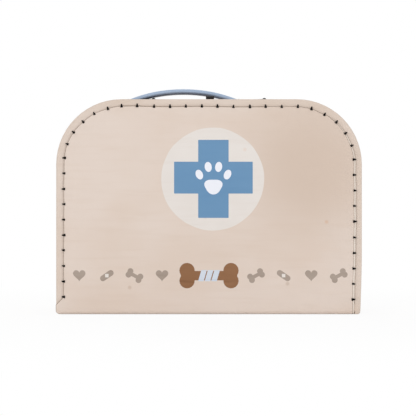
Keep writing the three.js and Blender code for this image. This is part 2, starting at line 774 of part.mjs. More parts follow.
function bottleCapOutside() {
  const { capRadius, capLength, capWall, capRound } = bottle;
  const round = capLength + capWall - capRound;
  return [
    vec2(capRadius, 0),
    ...arcPoints(capRadius - capRound, round, capRound, 0, rightAngle, foldSteps),
  ];
}

// The cap, hollow over the neck.
function bottleCap() {
  const { neckRadius, neckLength, capFit } = bottle;
  const inner = neckRadius + capFit;
  const inside = [vec2(0, neckLength + capFit), vec2(inner, neckLength + capFit), vec2(inner, 0)];
  const outside = bottleCapOutside();
  const crown = vec2(0, outside[outside.length - 1].y);
  return turnedAlongZ([...inside, ...outside, crown]);
}

// The bandage roll: its ends stepped in towards the core, as wound gauze is.
function bandageOutside() {
  const { radius, width, endStep, turns, coreRadius } = bandage;
  const step = (radius - coreRadius) / turns;
  const end = Array.from({ length: turns }, (_, i) => {
    const inner = coreRadius + step * i;
    const depth = (endStep * (turns - 1 - i)) / turns;
    return [vec2(inner, depth), vec2(inner + step, depth)];
  }).flat();
  const far = end.map((point) => vec2(point.x, width - point.y)).reverse();
  return { end, far };
}

function bandageRoll() {
  const { end, far } = bandageOutside();
  return turnedAlongX([...end, ...far, end[0]]);
}

// Closes an outer profile onto the axis.
function solidProfile(outside) {
  const first = outside[0];
  const last = outside[outside.length - 1];
  return [vec2(0, first.y), ...outside, vec2(0, last.y)];
}

// The cut-out that an instrument sinks into: its section at the face of the insert, with a little room.
function slotOutline(outside) {
  const edge = divided(outside).map((point) => {
    const section = Math.sqrt(Math.max(point.x ** 2 - insert.lift ** 2, 0));
    return vec2(section + insert.slotGap, point.y);
  });
  edge[0].y -= insert.slotGap;
  edge[edge.length - 1].y += insert.slotGap;
  return [...edge, ...edge.map((point) => vec2(-point.x, point.y)).reverse()];
}

// Adds points along each sloping stretch of a profile, where a flat section of it would be curved.
function divided(outside) {
  return outside.flatMap((point, i) => {
    const next = outside[i + 1];
    if (!next || next.x === point.x || next.y === point.y) return [point];
    return Array.from({ length: slopeSteps }, (_, k) => point.clone().lerp(next, k / slopeSteps));
  });
}

// The widest profile of each instrument, where it starts and which way it lies.
function slotShapes() {
  const { radius, width } = bandage;
  const roll = [vec2(radius, 0), vec2(radius, width)];
  const capLength = bottle.capLength + bottle.capWall;
  const cap = [vec2(bottle.capRadius, 0), vec2(bottle.capRadius, capLength)];
  return [
    { outside: widened(syringeOutside()), ...places.syringe, lies: "x" },
    { outside: widened(plungerSweep()), ...places.syringe, lies: "x" },
    { outside: widened(thermometerOutside()), ...places.thermometer, lies: "x" },
    { outside: widened(hammerHandleOutside()), ...places.hammer, lies: "x" },
    { outside: widened(hammerHeadOutside()), x: hammerHeadX, z: places.hammer.z, lies: "z" },
    { outside: widened(otoscopeGripOutside()), ...places.otoscope, lies: "z" },
    { outside: widened(otoscopeHeadOutside()), x: otoscopeHeadX, z: otoscopeHeadZ, lies: "x" },
    { outside: widened(bottleOutside()), ...places.bottle, lies: "z" },
    { outside: cap, x: places.bottle.x, z: bottleCapZ, lies: "z" },
    { outside: roll, ...places.bandage, lies: "x" },
  ];
}

// Leaves room before a step up in radius and after a step down.
function widened(outside) {
  return outside.map((point, i) => {
    const before = outside[i - 1];
    const after = outside[i + 1];
    if (before && before.y === point.y && before.x < point.x) return vec2(point.x, point.y - insert.slotGap);
    if (after && after.y === point.y && after.x > point.x) return vec2(point.x, point.y - insert.slotGap);
    if (before && before.y === point.y && before.x > point.x) return vec2(point.x, point.y + insert.slotGap);
    if (after && after.y === point.y && after.x < point.x) return vec2(point.x, point.y + insert.slotGap);
    return point;
  });
}

// The insert: a shallow card box, face outwards, with a cut-out for each instrument. Its back is at y = 0.
function insertTray() {
  const inset = boardThickness + cardGap + collarClearance + collarThickness + insert.sideGap;
  const bottom = bandFloor + insert.sideGap;
  const foot = bottomCornerRadius;
  const back = bandFloor + insert.footGap;
  const outer = alongY(caseOutline(inset, bottom, foot), back, insert.faceDepth);
  const wall = insert.thickness;
  const inner = caseOutline(inset + wall, bottom + wall, foot - wall);
  const hollow = alongY(inner, back - overrun, insert.faceDepth - wall);
  return solidOf(outer).subtract(solidOf(hollow));
}

// Places an outline of radius and distance on the insert, lying along X or Z, and cuts it through the face.
function cutSlots(tray) {
  let solid = tray;
  const facePlane = backY - insert.faceDepth;
  for (const { outside, x, z, lies } of slotShapes()) {
    const outline = slotOutline(outside).map((point) => {
      return lies === "x" ? vec2(x + point.y, z + point.x) : vec2(x + point.x, z + point.y);
    });
    const slot = alongY(outline, facePlane - overrun, facePlane + insert.thickness + overrun);
    solid = solid.subtract(solidOf(slot));
  }
  return solid;
}

// Finishes.
const finishes = {
  board: { color: "#dfcfc3", roughness: 0.75, metalness: 0 },
  collar: { color: "#ece6dd", roughness: 0.85, metalness: 0 },
  cloth: { color: "#cdbfb2", roughness: 0.9, metalness: 0 },
  handle: { color: "#a9bccb", roughness: 0.35, metalness: 0 },
  wire: { color: "#4c4f55", roughness: 0.3, metalness: 1 },
  blackSteel: { color: "#1c1d20", roughness: 0.35, metalness: 0.8 },
  insert: { color: "#d9c6ab", roughness: 0.9, metalness: 0 },
  beech: { color: "#d8b88a", roughness: 0.6, metalness: 0 },
  paleBlue: { color: "#8fb2cc", roughness: 0.45, metalness: 0 },
  white: { color: "#eeece8", roughness: 0.5, metalness: 0 },
  rubber: { color: "#5d7f9c", roughness: 0.7, metalness: 0 },
  gauze: { color: "#f1ece2", roughness: 0.95, metalness: 0 },
};

const kit = new THREE.Group();

// Adds one named mesh to a group, with flat faces.
function addPiece(group, name, geometry, finish) {
  const faceted = closedGeometry(geometry).toNonIndexed();
  faceted.computeVertexNormals();
  const mesh = new THREE.Mesh(faceted, new THREE.MeshStandardMaterial(finishes[finish]));
  mesh.name = name;
  group.add(mesh);
  return mesh;
}

// A child group at a place, turned about Z by half turns so that the base faces backwards.
function addGroup(x, y, z, halfTurns = 0) {
  const group = new THREE.Group();
  group.position.set(x, y, z);
  group.rotation.z = 2 * rightAngle * halfTurns;
  kit.add(group);
  return group;
}

const handleY = (seamY + backY) / 2;
const halfSpacing = pivotSpacing / 2;
const bracketPlaces = [{ side: "left", x: -halfSpacing }, { side: "right", x: halfSpacing }];
const rivetXs = [clasp.offset - clasp.rivetX, clasp.offset + clasp.rivetX];
const lidRivets = rivetXs.map((x) => ({ x, y: seamY - clasp.catchRivetY }));
const claspRivets = rivetXs.map((x) => ({ x, y: seamY + clasp.rivetY }));
const bracketRivets = bracketPlaces.flatMap(({ x }) => {
  return [-1, 1].map((side) => ({ x: x + side * bracket.rivetOffset, y: handleY }));
});

function addLid() {
  const depth = lidDepth - seamGap / 2;
  const lid = addGroup(0, frontY, 0);
  const holes = lidRivets.map(({ x, y }) => ({ x, y: y - frontY }));
  addPiece(lid, "lid_panel", panelSheet(depth), "board");
  addPiece(lid, "lid_band", sideBand(depth, holes), "board");
  addPiece(lid, "lid_hinge_cloth", hingeTape(depth), "cloth");
}

function addBase() {
  const depth = baseDepth - seamGap / 2;
  const base = addGroup(0, backY, 0, 1);
  const holes = [...claspRivets, ...bracketRivets].map(({ x, y }) => ({ x: -x, y: backY - y }));
  addPiece(base, "base_panel", panelSheet(depth), "board");
  addPiece(base, "base_band", sideBand(depth, holes), "board");
  addPiece(base, "base_hinge_cloth", hingeTape(depth), "cloth");
  addPiece(base, "base_collar", collar(), "collar");
}

function addHandle() {
  const top = caseHeight + metalGap;
  const ringZ = top + bracket.eyeHeight;
  const eyeZ = caseHeight + handle.restGap + handle.eyeRadius;
  const tilt = Math.asin((ringZ - eyeZ) / ring.length);
  const shift = ring.length * Math.cos(tilt);
  for (const { side, x } of bracketPlaces) {
    addPiece(addGroup(x, handleY, top), `handle_bracket_${side}`, handleBracket(), "blackSteel");
    const held = addGroup(x, handleY, ringZ);
    held.rotation.y = 2 * rightAngle - tilt;
    addPiece(held, `handle_ring_${side}`, wireRing(), "wire");
  }
  addPiece(addGroup(-shift, handleY, eyeZ), "handle", bowHandle(), "handle");
  bracketRivets.forEach(({ x, y }, i) => {
    addPiece(addGroup(x, y, rivetSeat), `bracket_rivet_${i + 1}`, rivet(), "blackSteel");
  });
}

function addClasp() {
  const at = () => addGroup(clasp.offset, seamY, caseHeight + metalGap);
  addPiece(at(), "clasp_plate", claspPlate(), "blackSteel");
  addPiece(at(), "clasp_pin", claspPin(), "blackSteel");
  addPiece(at(), "clasp_hasp", claspHasp(), "blackSteel");
  addPiece(at(), "catch_plate", catchPlate(), "blackSteel");
  claspRivets.forEach(({ x, y }, i) => {
    addPiece(addGroup(x, y, rivetSeat), `clasp_rivet_${i + 1}`, rivet(), "blackSteel");
  });
  lidRivets.forEach(({ x, y }, i) => {
    addPiece(addGroup(x, y, rivetSeat), `catch_rivet_${i + 1}`, rivet(), "blackSteel");
  });
}

// The instruments lie with their axes a little in front of the insert's face.
function addInstruments() {
  const faceY = backY - insert.faceDepth;
  const axisY = faceY - insert.lift;
  const box = geometryOf(insertTray()).rotateZ(2 * rightAngle).translate(0, backY, 0);
  addPiece(kit, "insert_tray", geometryOf(cutSlots(solidOf(box))), "insert");
  const at = ({ x, z }) => addGroup(x, axisY, z);
  addPiece(at(places.syringe), "syringe_barrel", syringeBarrel(), "white");
  addPiece(at(places.syringe), "syringe_plunger", syringePlunger(), "paleBlue");
  const stick = turnedAlongX(solidProfile(thermometerOutside()));
  addPiece(at(places.thermometer), "thermometer", stick, "beech");
  const hammerHandle = turnedAlongX(solidProfile(hammerHandleOutside()));
  addPiece(at(places.hammer), "hammer_handle", hammerHandle, "beech");
  addPiece(at({ x: hammerHeadX, z: places.hammer.z }), "hammer_head", hammerHead(), "rubber");
  const grip = turnedAlongZ(solidProfile(otoscopeGripOutside()));
  addPiece(at(places.otoscope), "otoscope_grip", grip, "beech");
  const head = turnedAlongX(solidProfile(otoscopeHeadOutside()));
  addPiece(at({ x: otoscopeHeadX, z: otoscopeHeadZ }), "otoscope_head", head, "paleBlue");
  addPiece(at(places.bottle), "medicine_bottle", bottleBody(), "white");
  addPiece(at({ x: places.bottle.x, z: bottleCapZ }), "medicine_cap", bottleCap(), "paleBlue");
  addPiece(at(places.bandage), "bandage_roll", bandageRoll(), "gauze");
}

// The hammer head, with the socket that its handle is pushed into.
function hammerHead() {
  const { headRadius, shaftRadius, socketDepth, socketFit } = hammer;
  const solid = solidOf(turnedAlongZ(solidProfile(hammerHeadOutside())));
  const floor = socketDepth - headRadius + socketFit;
  const socket = turnedAlongX(rod(shaftRadius + socketFit, -headRadius - overrun, floor));
  return geometryOf(solid.subtract(solidOf(socket)));
}

addLid();
addBase();
addHandle();
addClasp();
addInstruments();

export default kit;
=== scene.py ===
# Toy vet kit: a stitched cardboard play case, its handle and clasp, and the instruments inside.
# The scene is in metres, +Z up, and the front of the lid faces -Y. The dictionaries are in millimetres,
# apart from those that say metres.
import math
import random
from bisect import bisect_right

import bmesh
import bpy
from mathutils import Matrix, Vector, noise
from mathutils.geometry import delaunay_2d_cdt


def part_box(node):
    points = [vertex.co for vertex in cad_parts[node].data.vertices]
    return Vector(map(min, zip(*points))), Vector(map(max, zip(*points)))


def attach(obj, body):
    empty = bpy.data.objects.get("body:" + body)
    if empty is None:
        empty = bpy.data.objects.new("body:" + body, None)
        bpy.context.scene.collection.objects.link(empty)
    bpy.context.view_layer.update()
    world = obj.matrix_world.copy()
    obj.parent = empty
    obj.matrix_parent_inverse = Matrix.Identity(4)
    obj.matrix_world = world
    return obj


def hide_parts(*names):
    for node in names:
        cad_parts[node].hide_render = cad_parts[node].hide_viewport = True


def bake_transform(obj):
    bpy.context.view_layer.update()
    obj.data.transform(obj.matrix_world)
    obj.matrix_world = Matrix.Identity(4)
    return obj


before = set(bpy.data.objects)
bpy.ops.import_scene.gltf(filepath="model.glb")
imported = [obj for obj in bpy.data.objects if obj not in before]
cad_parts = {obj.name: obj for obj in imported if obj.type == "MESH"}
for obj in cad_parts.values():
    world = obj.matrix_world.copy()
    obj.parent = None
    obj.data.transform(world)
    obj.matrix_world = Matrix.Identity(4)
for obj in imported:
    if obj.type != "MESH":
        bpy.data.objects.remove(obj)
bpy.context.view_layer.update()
mm = 0.001

# Places that everything is measured from
lidLow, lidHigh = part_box("lid_panel")
baseLow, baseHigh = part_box("base_panel")
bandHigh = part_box("lid_band")[1]
frontY = lidLow.y
backY = baseHigh.y
seamY = (lidHigh.y + baseLow.y) / 2
caseTop = bandHigh.z / mm
caseHalf = bandHigh.x / mm


def newObject(name, data):
    made = bpy.data.objects.new(name, data)
    bpy.context.scene.collection.objects.link(made)
    return made


def clipped(value):
    return min(max(value, 0.0), 1.0)


# Camera

camera = {
    "focal": 106.1,
    "sensor": 36,
    "distance": 1200,  # from the front of the lid
    "x": -1.0,
    "z": 104.2,
    "clip": (0.05, 60),  # metres
}


def addCamera():
    data = bpy.data.cameras.new("camera")
    data.lens = camera["focal"]
    data.sensor_width = camera["sensor"]
    data.clip_start, data.clip_end = camera["clip"]
    made = newObject("camera", data)
    made.location = (camera["x"] * mm, frontY - camera["distance"] * mm, camera["z"] * mm)
    made.rotation_euler = (math.radians(90), 0, 0)
    bpy.context.scene.camera = made


# Node trees


def feed(tree, socket, value):
    if isinstance(value, bpy.types.NodeSocket):
        tree.links.new(value, socket)
    else:
        socket.default_value = value


def addNode(tree, kind, inputs=None, **settings):
    node = tree.nodes.new(kind)
    for name, value in settings.items():
        setattr(node, name, value)
    for name, value in (inputs or {}).items():
        feed(tree, node.inputs[name], value)
    return node


def maths(tree, operation, first, second=0.5):
    return addNode(tree, "ShaderNodeMath", {0: first, 1: second}, operation=operation).outputs[0]


def plus(tree, first, second):
    return maths(tree, "ADD", first, second)


def times(tree, first, second):
    return maths(tree, "MULTIPLY", first, second)


def scaled(tree, vector, factors):
    return addNode(tree, "ShaderNodeVectorMath", {0: vector, 1: factors}, operation="MULTIPLY").outputs[0]


def lengthOf(tree, vector):
    return addNode(tree, "ShaderNodeVectorMath", {0: vector}, operation="LENGTH").outputs["Value"]


# 0 at low and 1 at high
def ramp(tree, value, low, high):
    inputs = {"Value": value, "From Min": low, "From Max": high}
    return addNode(tree, "ShaderNodeMapRange", inputs, interpolation_type="SMOOTHSTEP").outputs[0]


def mixColour(tree, share, first, second):
    return addNode(tree, "ShaderNodeMix", {0: share, 6: first, 7: second}, data_type="RGBA").outputs[2]


def noiseAt(tree, vector, scale, detail=2.0, roughness=0.5):
    inputs = {"Vector": vector, "Scale": scale, "Detail": detail, "Roughness": roughness}
    return addNode(tree, "ShaderNodeTexNoise", inputs).outputs[0]


# A group with its named inputs, each a kind and a first value, and its named outputs
def newTree(kind, name, inputs, outputs):
    tree = bpy.data.node_groups.new(name, kind + "NodeTree")
    for label, (form, value) in inputs.items():
        socket = tree.interface.new_socket(name=label, in_out="INPUT", socket_type="NodeSocket" + form)
        if value is not None:
            socket.default_value = value
    for label, form in outputs.items():
        tree.interface.new_socket(name=label, in_out="OUTPUT", socket_type="NodeSocket" + form)
    return tree, tree.nodes.new("NodeGroupInput").outputs, tree.nodes.new("NodeGroupOutput").inputs


# Shader groups: printed paper, woven cloth, beech and handling marks. Places are in metres, and a scale says
# how many waves go into a metre.

paperLook = {
    "cloudStretch": (1.0, 1.0, 1.7),
    "cloudScale": 13.0,
    "cloudRange": (0.32, 0.68),
    "streakStretch": (5.0, 5.0, 60.0),
    "streakScale": 3.5,
    "streakRange": (0.45, 0.75),
    "washPlace": (0.098, 0.0, 0.145),  # the browner corner at the top right
    "washReach": (0.1, 0.012),
    "washTone": (209, 190, 175),
    "fleckScale": 26.0,
    "fleckSize": (0.07, 0.02),
    "fleckRarity": 0.9,
    "fleckTones": ((226, 178, 140), (176, 164, 152)),
    "softScale": 120.0,
    "fibreScale": 900.0,
    "fibreStretch": (1.0, 1.0, 2.6),
    "bumpShares": (0.7, 0.3),  # of the soft waves and of the fibre
    "rough": (0.6, 0.16),  # at least, and how much more where the waves are high
    "bump": (0.35, 0.12),  # strength, and height in millimetres
    "shine": 0.3,
}
beech = {
    "tone": (222, 188, 142), "dark": (186, 141, 93), "pore": (150, 104, 64),
    "grainScale": 30.0, "grainRange": (0.35, 0.7), "poreScale": 330.0, "poreRange": (0.62, 0.72),
    "poreShare": 0.5, "poreDepth": 0.6, "rough": (0.42, 0.2), "bump": (0.2, 0.1),
    "coat": 0.15, "coatRough": 0.3,
}
weave = {
    "slub": 0.3, "slubScale": 300.0, "maskRange": (0.25, 0.9),
    "bumpHeight": 0.2, "rough": 0.88, "sheen": 0.25,
}
scuff = {
    "scratchScale": 420.0, "scratchStretch": (1.0, 6.0, 6.0), "smudgeRange": (0.45, 0.75),
    "bumpHeight": 0.1, "wornRough": 0.18,
}


# An 8-bit screen colour in Blender's linear values
def srgb(red, green, blue):
    def linear(value):
        share = value / 255
        return share / 12.92 if share <= 0.04045 else ((share + 0.055) / 1.055) ** 2.4
    return (linear(red), linear(green), linear(blue), 1.0)


# A cloudy tone, faint level streaks, a washed corner, a few flecks, and a fibre bump
def paperGroup():
    amounts = {label: ("Float", 0.0) for label in ("Cloud", "Streak", "Flecks", "Wash")}
    tones = {label: ("Color", None) for label in ("Tone", "Pale", "Deep")}
    tree, given, out = newTree("Shader", "paperTone", {"Vector": ("Vector", None), **tones, **amounts},
                               {"Color": "Color", "Roughness": "Float", "Height": "Float"})
    look, place = paperLook, given["Vector"]
    wide = noiseAt(tree, scaled(tree, place, look["cloudStretch"]), look["cloudScale"], detail=3.0)
    level = scaled(tree, place, look["streakStretch"])
    level = noiseAt(tree, level, look["streakScale"], detail=3.0, roughness=0.6)
    cloud = times(tree, ramp(tree, wide, *look["cloudRange"]), given["Cloud"])
    streak = times(tree, ramp(tree, level, *look["streakRange"]), given["Streak"])
    colour = mixColour(tree, cloud, given["Tone"], given["Pale"])
    colour = mixColour(tree, streak, colour, given["Deep"])
    corner = addNode(tree, "ShaderNodeVectorMath", {0: place, 1: look["washPlace"]}, operation="SUBTRACT")
    away = lengthOf(tree, scaled(tree, corner.outputs[0], (1, 0, 1)))
    washed = times(tree, ramp(tree, away, *look["washReach"]), given["Wash"])
    colour = mixColour(tree, washed, colour, srgb(*look["washTone"]))
    parts = addNode(tree, "ShaderNodeSeparateXYZ", {0: place}).outputs
    flat = addNode(tree, "ShaderNodeCombineXYZ", {0: parts[0], 1: parts[2]}).outputs[0]
    inputs = {"Vector": flat, "Scale": look["fleckScale"]}
    cells = addNode(tree, "ShaderNodeTexVoronoi", inputs, voronoi_dimensions="2D")
    chosen = addNode(tree, "ShaderNodeSeparateColor", {0: cells.outputs["Color"]}).outputs
    dot = ramp(tree, cells.outputs["Distance"], *look["fleckSize"])
    speck = times(tree, dot, maths(tree, "GREATER_THAN", chosen[0], look["fleckRarity"]))
    one, other = look["fleckTones"]
    speckColour = mixColour(tree, chosen[1], srgb(*one), srgb(*other))
    feed(tree, out["Color"], mixColour(tree, times(tree, speck, given["Flecks"]), colour, speckColour))
    soft = noiseAt(tree, place, look["softScale"])
    fibre = scaled(tree, place, look["fibreStretch"])
    fibre = noiseAt(tree, fibre, look["fibreScale"], detail=3.0, roughness=0.6)
    softShare, fibreShare = look["bumpShares"]
    feed(tree, out["Height"], plus(tree, times(tree, soft, softShare), times(tree, fibre, fibreShare)))
    rough, more = look["rough"]
    feed(tree, out["Roughness"], plus(tree, times(tree, soft, more), rough))


# Crossing threads as a colour mask and a height
def weaveGroup():
    inputs = {"Vector": ("Vector", None), "Threads": ("Float", 1600.0)}
    tree, given, out = newTree("Shader", "plainWeave", inputs, {"Mask": "Float", "Height": "Float"})
    parts = addNode(tree, "ShaderNodeSeparateXYZ", {0: given["Vector"]}).outputs
    turns = times(tree, given["Threads"], math.pi)
    warp = maths(tree, "SINE", times(tree, parts[0], turns))
    weft = maths(tree, "SINE", times(tree, plus(tree, parts[1], parts[2]), turns))
    slub = times(tree, noiseAt(tree, given["Vector"], weave["slubScale"]), weave["slub"])
    height = plus(tree, times(tree, plus(tree, times(tree, warp, weft), 1.0), 0.5), slub)
    feed(tree, out["Height"], height)
    feed(tree, out["Mask"], ramp(tree, height, *weave["maskRange"]))


# Fine grain along one axis with short dark pores
def beechGroup():
    tree, given, out = newTree("Shader", "beechGrain", {"Vector": ("Vector", None)},
                               {"Color": "Color", "Roughness": "Float", "Height": "Float"})
    grain = noiseAt(tree, given["Vector"], beech["grainScale"], detail=4.0, roughness=0.55)
    pores = ramp(tree, noiseAt(tree, given["Vector"], beech["poreScale"]), *beech["poreRange"])
    tone, dark, pore = (srgb(*beech[key]) for key in ("tone", "dark", "pore"))
    colour = mixColour(tree, ramp(tree, grain, *beech["grainRange"]), tone, dark)
    feed(tree, out["Color"], mixColour(tree, times(tree, pores, beech["poreShare"]), colour, pore))
    rough, more = beech["rough"]
    feed(tree, out["Roughness"], plus(tree, times(tree, grain, more), rough))
    feed(tree, out["Height"], maths(tree, "SUBTRACT", grain, times(tree, pores, beech["poreDepth"])))


# Handling marks: broad smudges and fine scratches
def scuffGroup():
    inputs = {"Vector": ("Vector", None), "Size": ("Float", 90.0), "Amount": ("Float", 0.6)}
    tree, given, out = newTree("Shader", "scuffs", inputs, {"Mask": "Float", "Height": "Float"})
    broad = noiseAt(tree, given["Vector"], given["Size"], detail=4.0, roughness=0.6)
    fine = noiseAt(tree, scaled(tree, given["Vector"], scuff["scratchStretch"]), scuff["scratchScale"])
    feed(tree, out["Mask"], times(tree, ramp(tree, broad, *scuff["smudgeRange"]), given["Amount"]))
    feed(tree, out["Height"], plus(tree, times(tree, broad, 0.5), times(tree, fine, 0.5)))


# Paper finishes: the tone, its paler and deeper neighbours as screen colours, and how much of each effect
papers = {
    "board": dict(tone=(219, 202, 189), pale=(224, 210, 200), deep=(212, 192, 176), streak=0.22, wash=1.0),
    "bandPaper": dict(tone=(215, 198, 184), pale=(221, 206, 195), deep=(206, 187, 170), streak=0.25,
                      flecks=0.0),
    "discInk": dict(tone=(225, 218, 212), pale=(229, 223, 218), deep=(219, 209, 201), flecks=0.2),
    "crossInk": dict(tone=(103, 144, 181), pale=(109, 148, 183), deep=(98, 139, 177), flecks=0.0),
    "pawInk": dict(tone=(235, 237, 245), pale=(240, 241, 247), deep=(228, 231, 240), flecks=0.0),
    "taupeInk": dict(tone=(163, 148, 136), pale=(174, 160, 149), deep=(150, 134, 121), streak=0.6),
    "brownInk": dict(tone=(139, 98, 66), pale=(152, 112, 80), deep=(121, 82, 54), streak=0.7),
    "wrapInk": dict(tone=(206, 214, 226), pale=(222, 228, 237), deep=(172, 187, 207), streak=0.8),
    "lining": dict(tone=(238, 231, 220), pale=(243, 238, 229), deep=(228, 218, 204), streak=0.15, flecks=0.2),
    # The board's real cut edges, and also the dark ring and strips along the seam on the face, which are
    # painted shade
    "cutEdgeAndPaintedShade": dict(tone=(140, 123, 108), pale=(156, 138, 122), deep=(122, 105, 92), cloud=1.0, streak=0.9),
    # A paler painted shade line along the sheet's cut edge where the bare strip shows
    "bareEdgePaintedShade": dict(tone=(184, 168, 154), pale=(194, 178, 164), deep=(172, 156, 142), flecks=0.0),
    "bareBoard": dict(tone=(224, 211, 199), pale=(232, 221, 211), deep=(206, 191, 178), flecks=0.0),
    "collarCard": dict(tone=(236, 230, 220), pale=(241, 236, 228), deep=(222, 213, 200), flecks=0.3),
    "insertCard": dict(tone=(198, 171, 136), pale=(206, 181, 148), deep=(180, 152, 117), cloud=0.4,
                       streak=0.12, flecks=0.6),
    "label": dict(tone=(244, 241, 235), pale=(248, 246, 242), deep=(232, 227, 218), streak=0.2, flecks=0.0),
}

# Plastic, rubber, metal and thread: the tone, the tone of worn places, shine and bump
finishes = {
    "handleBlue": dict(tone=(162, 182, 208), worn=(175, 193, 216), rough=0.42, bump=0.06),
    # The handle's blue darkened for its lower faces and its underside: painted shade
    "handleLowPaintedShade": dict(tone=(134, 150, 172), worn=(144, 160, 180), rough=0.45, bump=0.06),
    "handleUnderPaintedShade": dict(tone=(80, 95, 126), worn=(94, 108, 138), rough=0.55, bump=0.1),
    "blackSteel": dict(tone=(27, 27, 30), worn=(52, 52, 56), rough=0.34, metal=0.25, bump=0.08),
    "blackWorn": dict(tone=(58, 58, 62), worn=(112, 112, 116), rough=0.3, metal=0.7, bump=0.08),
    "wire": dict(tone=(74, 76, 82), worn=(116, 118, 124), rough=0.28, metal=0.9, bump=0.05),
    "whitePlastic": dict(tone=(238, 236, 230), worn=(228, 224, 216), rough=0.3, bump=0.05),
    "bluePlastic": dict(tone=(143, 178, 206), worn=(158, 190, 214), rough=0.32, bump=0.05),
    "inkBlue": dict(tone=(86, 124, 162), worn=(104, 140, 174), rough=0.5, bump=0.03),
    "blueRubber": dict(tone=(93, 127, 158), worn=(110, 140, 167), rough=0.68, bump=0.15),
    "thread": dict(tone=(14, 10, 9), worn=(30, 24, 22), rough=0.85, bump=0.6, shine=0.15),
}
cloths = {
    "bookCloth": dict(tone=(206, 188, 172), dark=(176, 157, 140), threads=1900, strength=0.5, along="Object"),
    "gauze": dict(tone=(249, 246, 238), dark=(214, 207, 194), threads=1100, strength=1.0, along="UV"),
}
woods = {"beechAlongX": (0.12, 1.0, 1.0), "beechAlongZ": (1.0, 1.0, 0.12)}  # how the grain is drawn out
materials = {}


# A material with a group's look, placed on the object's coordinates or its UV map
def newMaterial(name, look, inputs, along="Object", stretch=(1, 1, 1)):
    made = bpy.data.materials.new(name)
    made.use_nodes = True
    materials[name] = made
    tree = made.node_tree
    place = addNode(tree, "ShaderNodeTexCoord").outputs[along]
    if stretch != (1, 1, 1):
        place = scaled(tree, place, stretch)
    node = addNode(tree, "ShaderNodeGroup", {"Vector": place, **inputs}, node_tree=bpy.data.node_groups[look])
    return tree, node.outputs


# Feeds the material's shader; the bump has a strength, and its full height is depth in millimetres
def shade(tree, height, strength, depth, sockets):
    bump = addNode(tree, "ShaderNodeBump", {"Height": height, "Strength": strength, "Distance": depth * mm})
    shader = tree.nodes["Principled BSDF"]
    for label, value in {**sockets, "Normal": bump.outputs[0]}.items():
        feed(tree, shader.inputs[label], value)


def paperMaterial(name, tone, pale, deep, cloud=0.7, streak=0.35, flecks=0.5, wash=0.0):
    tree, look = newMaterial(name, "paperTone", {
        "Tone": srgb(*tone), "Pale": srgb(*pale), "Deep": srgb(*deep),
        "Cloud": cloud, "Streak": streak, "Flecks": flecks, "Wash": wash})
    shade(tree, look["Height"], *paperLook["bump"], {
        "Base Color": look["Color"], "Roughness": look["Roughness"],
        "Specular IOR Level": paperLook["shine"]})


def hardMaterial(name, tone, worn, rough, metal=0.0, bump=0.1, shine=0.5):
    tree, look = newMaterial(name, "scuffs", {})
    shade(tree, look["Height"], bump, scuff["bumpHeight"], {
        "Base Color": mixColour(tree, look["Mask"], srgb(*tone), srgb(*worn)),
        "Roughness": plus(tree, times(tree, look["Mask"], scuff["wornRough"]), rough),
        "Specular IOR Level": shine, "Metallic": metal})


def woodMaterial(name, stretch):
    tree, look = newMaterial(name, "beechGrain", {}, stretch=stretch)
    shade(tree, look["Height"], *beech["bump"], {
        "Base Color": look["Color"], "Roughness": look["Roughness"],
        "Coat Weight": beech["coat"], "Coat Roughness": beech["coatRough"]})


def clothMaterial(name, tone, dark, threads, strength, along):
    tree, look = newMaterial(name, "plainWeave", {"Threads": threads}, along)
    shade(tree, look["Height"], strength, weave["bumpHeight"], {
        "Base Color": mixColour(tree, look["Mask"], srgb(*dark), srgb(*tone)),
        "Roughness": weave["rough"], "Sheen Weight": weave["sheen"]})


def makeMaterials():
    for makeGroup in (paperGroup, weaveGroup, beechGroup, scuffGroup):
        makeGroup()
    for make, looks in ((paperMaterial, papers), (hardMaterial, finishes), (clothMaterial, cloths)):
        for name, values in looks.items():
            make(name, **values)
    for name, stretch in woods.items():
        woodMaterial(name, stretch)
    print("materials made:", len(materials))


# Floor and light, in metres

studio = {
    "world": 0.62,
    "floorTone": 0.94,
    "floorHalf": 8.0,
    "floorDrop": 0.0004,
    "glowNear": 0.9,  # how much of the floor's white is its own near the case, and all of it further off
    "glowReach": (0.12, 0.5),
    "aim": (0, 0, 0.1),
    "lamps": {  # place, power and size
        "key": ((-0.75, -1.65, 0.7), 9.3, 1.4),
        "fill": ((1.3, -1.2, 0.4), 5.0, 0.8),
        "topLight": ((0.1, 0.4, 1.7), 3.6, 1.4),
        "backLight": ((-0.7, 1.6, 0.8), 8.0, 1.6),
    },
}


# 1 where the background itself is seen, also in a mirror or through glass, and 0 where it lights the case
def seenDirectly(tree):
    path = addNode(tree, "ShaderNodeLightPath").outputs
    seen = maths(tree, "MAXIMUM", path["Is Camera Ray"], path["Is Glossy Ray"])
    return maths(tree, "MAXIMUM", seen, path["Is Transmission Ray"])


def endMix(tree, share, first, second, end):
    mixed = addNode(tree, "ShaderNodeMixShader", {0: share, 1: first.outputs[0], 2: second.outputs[0]})
    addNode(tree, end, {0: mixed.outputs[0]})


def addStage():
    half, tone, near = studio["floorHalf"], studio["floorTone"], studio["glowNear"]
    mesh = bpy.data.meshes.new("floor")
    corners = [(-half, -half, 0), (half, -half, 0), (half, half, 0), (-half, half, 0)]
    mesh.from_pydata(corners, [], [(0, 1, 2, 3)])
    floor = newObject("floor", mesh)
    floor.location.z = -studio["floorDrop"]
    made = bpy.data.materials.new("floorWhite")
    made.use_nodes = True
    tree = made.node_tree
    tree.nodes.clear()
    matt = addNode(tree, "ShaderNodeBsdfDiffuse", {"Color": (tone, tone, tone, 1)})
    glow = addNode(tree, "ShaderNodeEmission", {"Color": (1, 1, 1, 1), "Strength": 1.0})
    away = lengthOf(tree, addNode(tree, "ShaderNodeTexCoord").outputs["Object"])
    glowing = plus(tree, times(tree, ramp(tree, away, *studio["glowReach"]), 1.0 - near), near)
    endMix(tree, times(tree, seenDirectly(tree), glowing), matt, glow, "ShaderNodeOutputMaterial")
    mesh.materials.append(made)


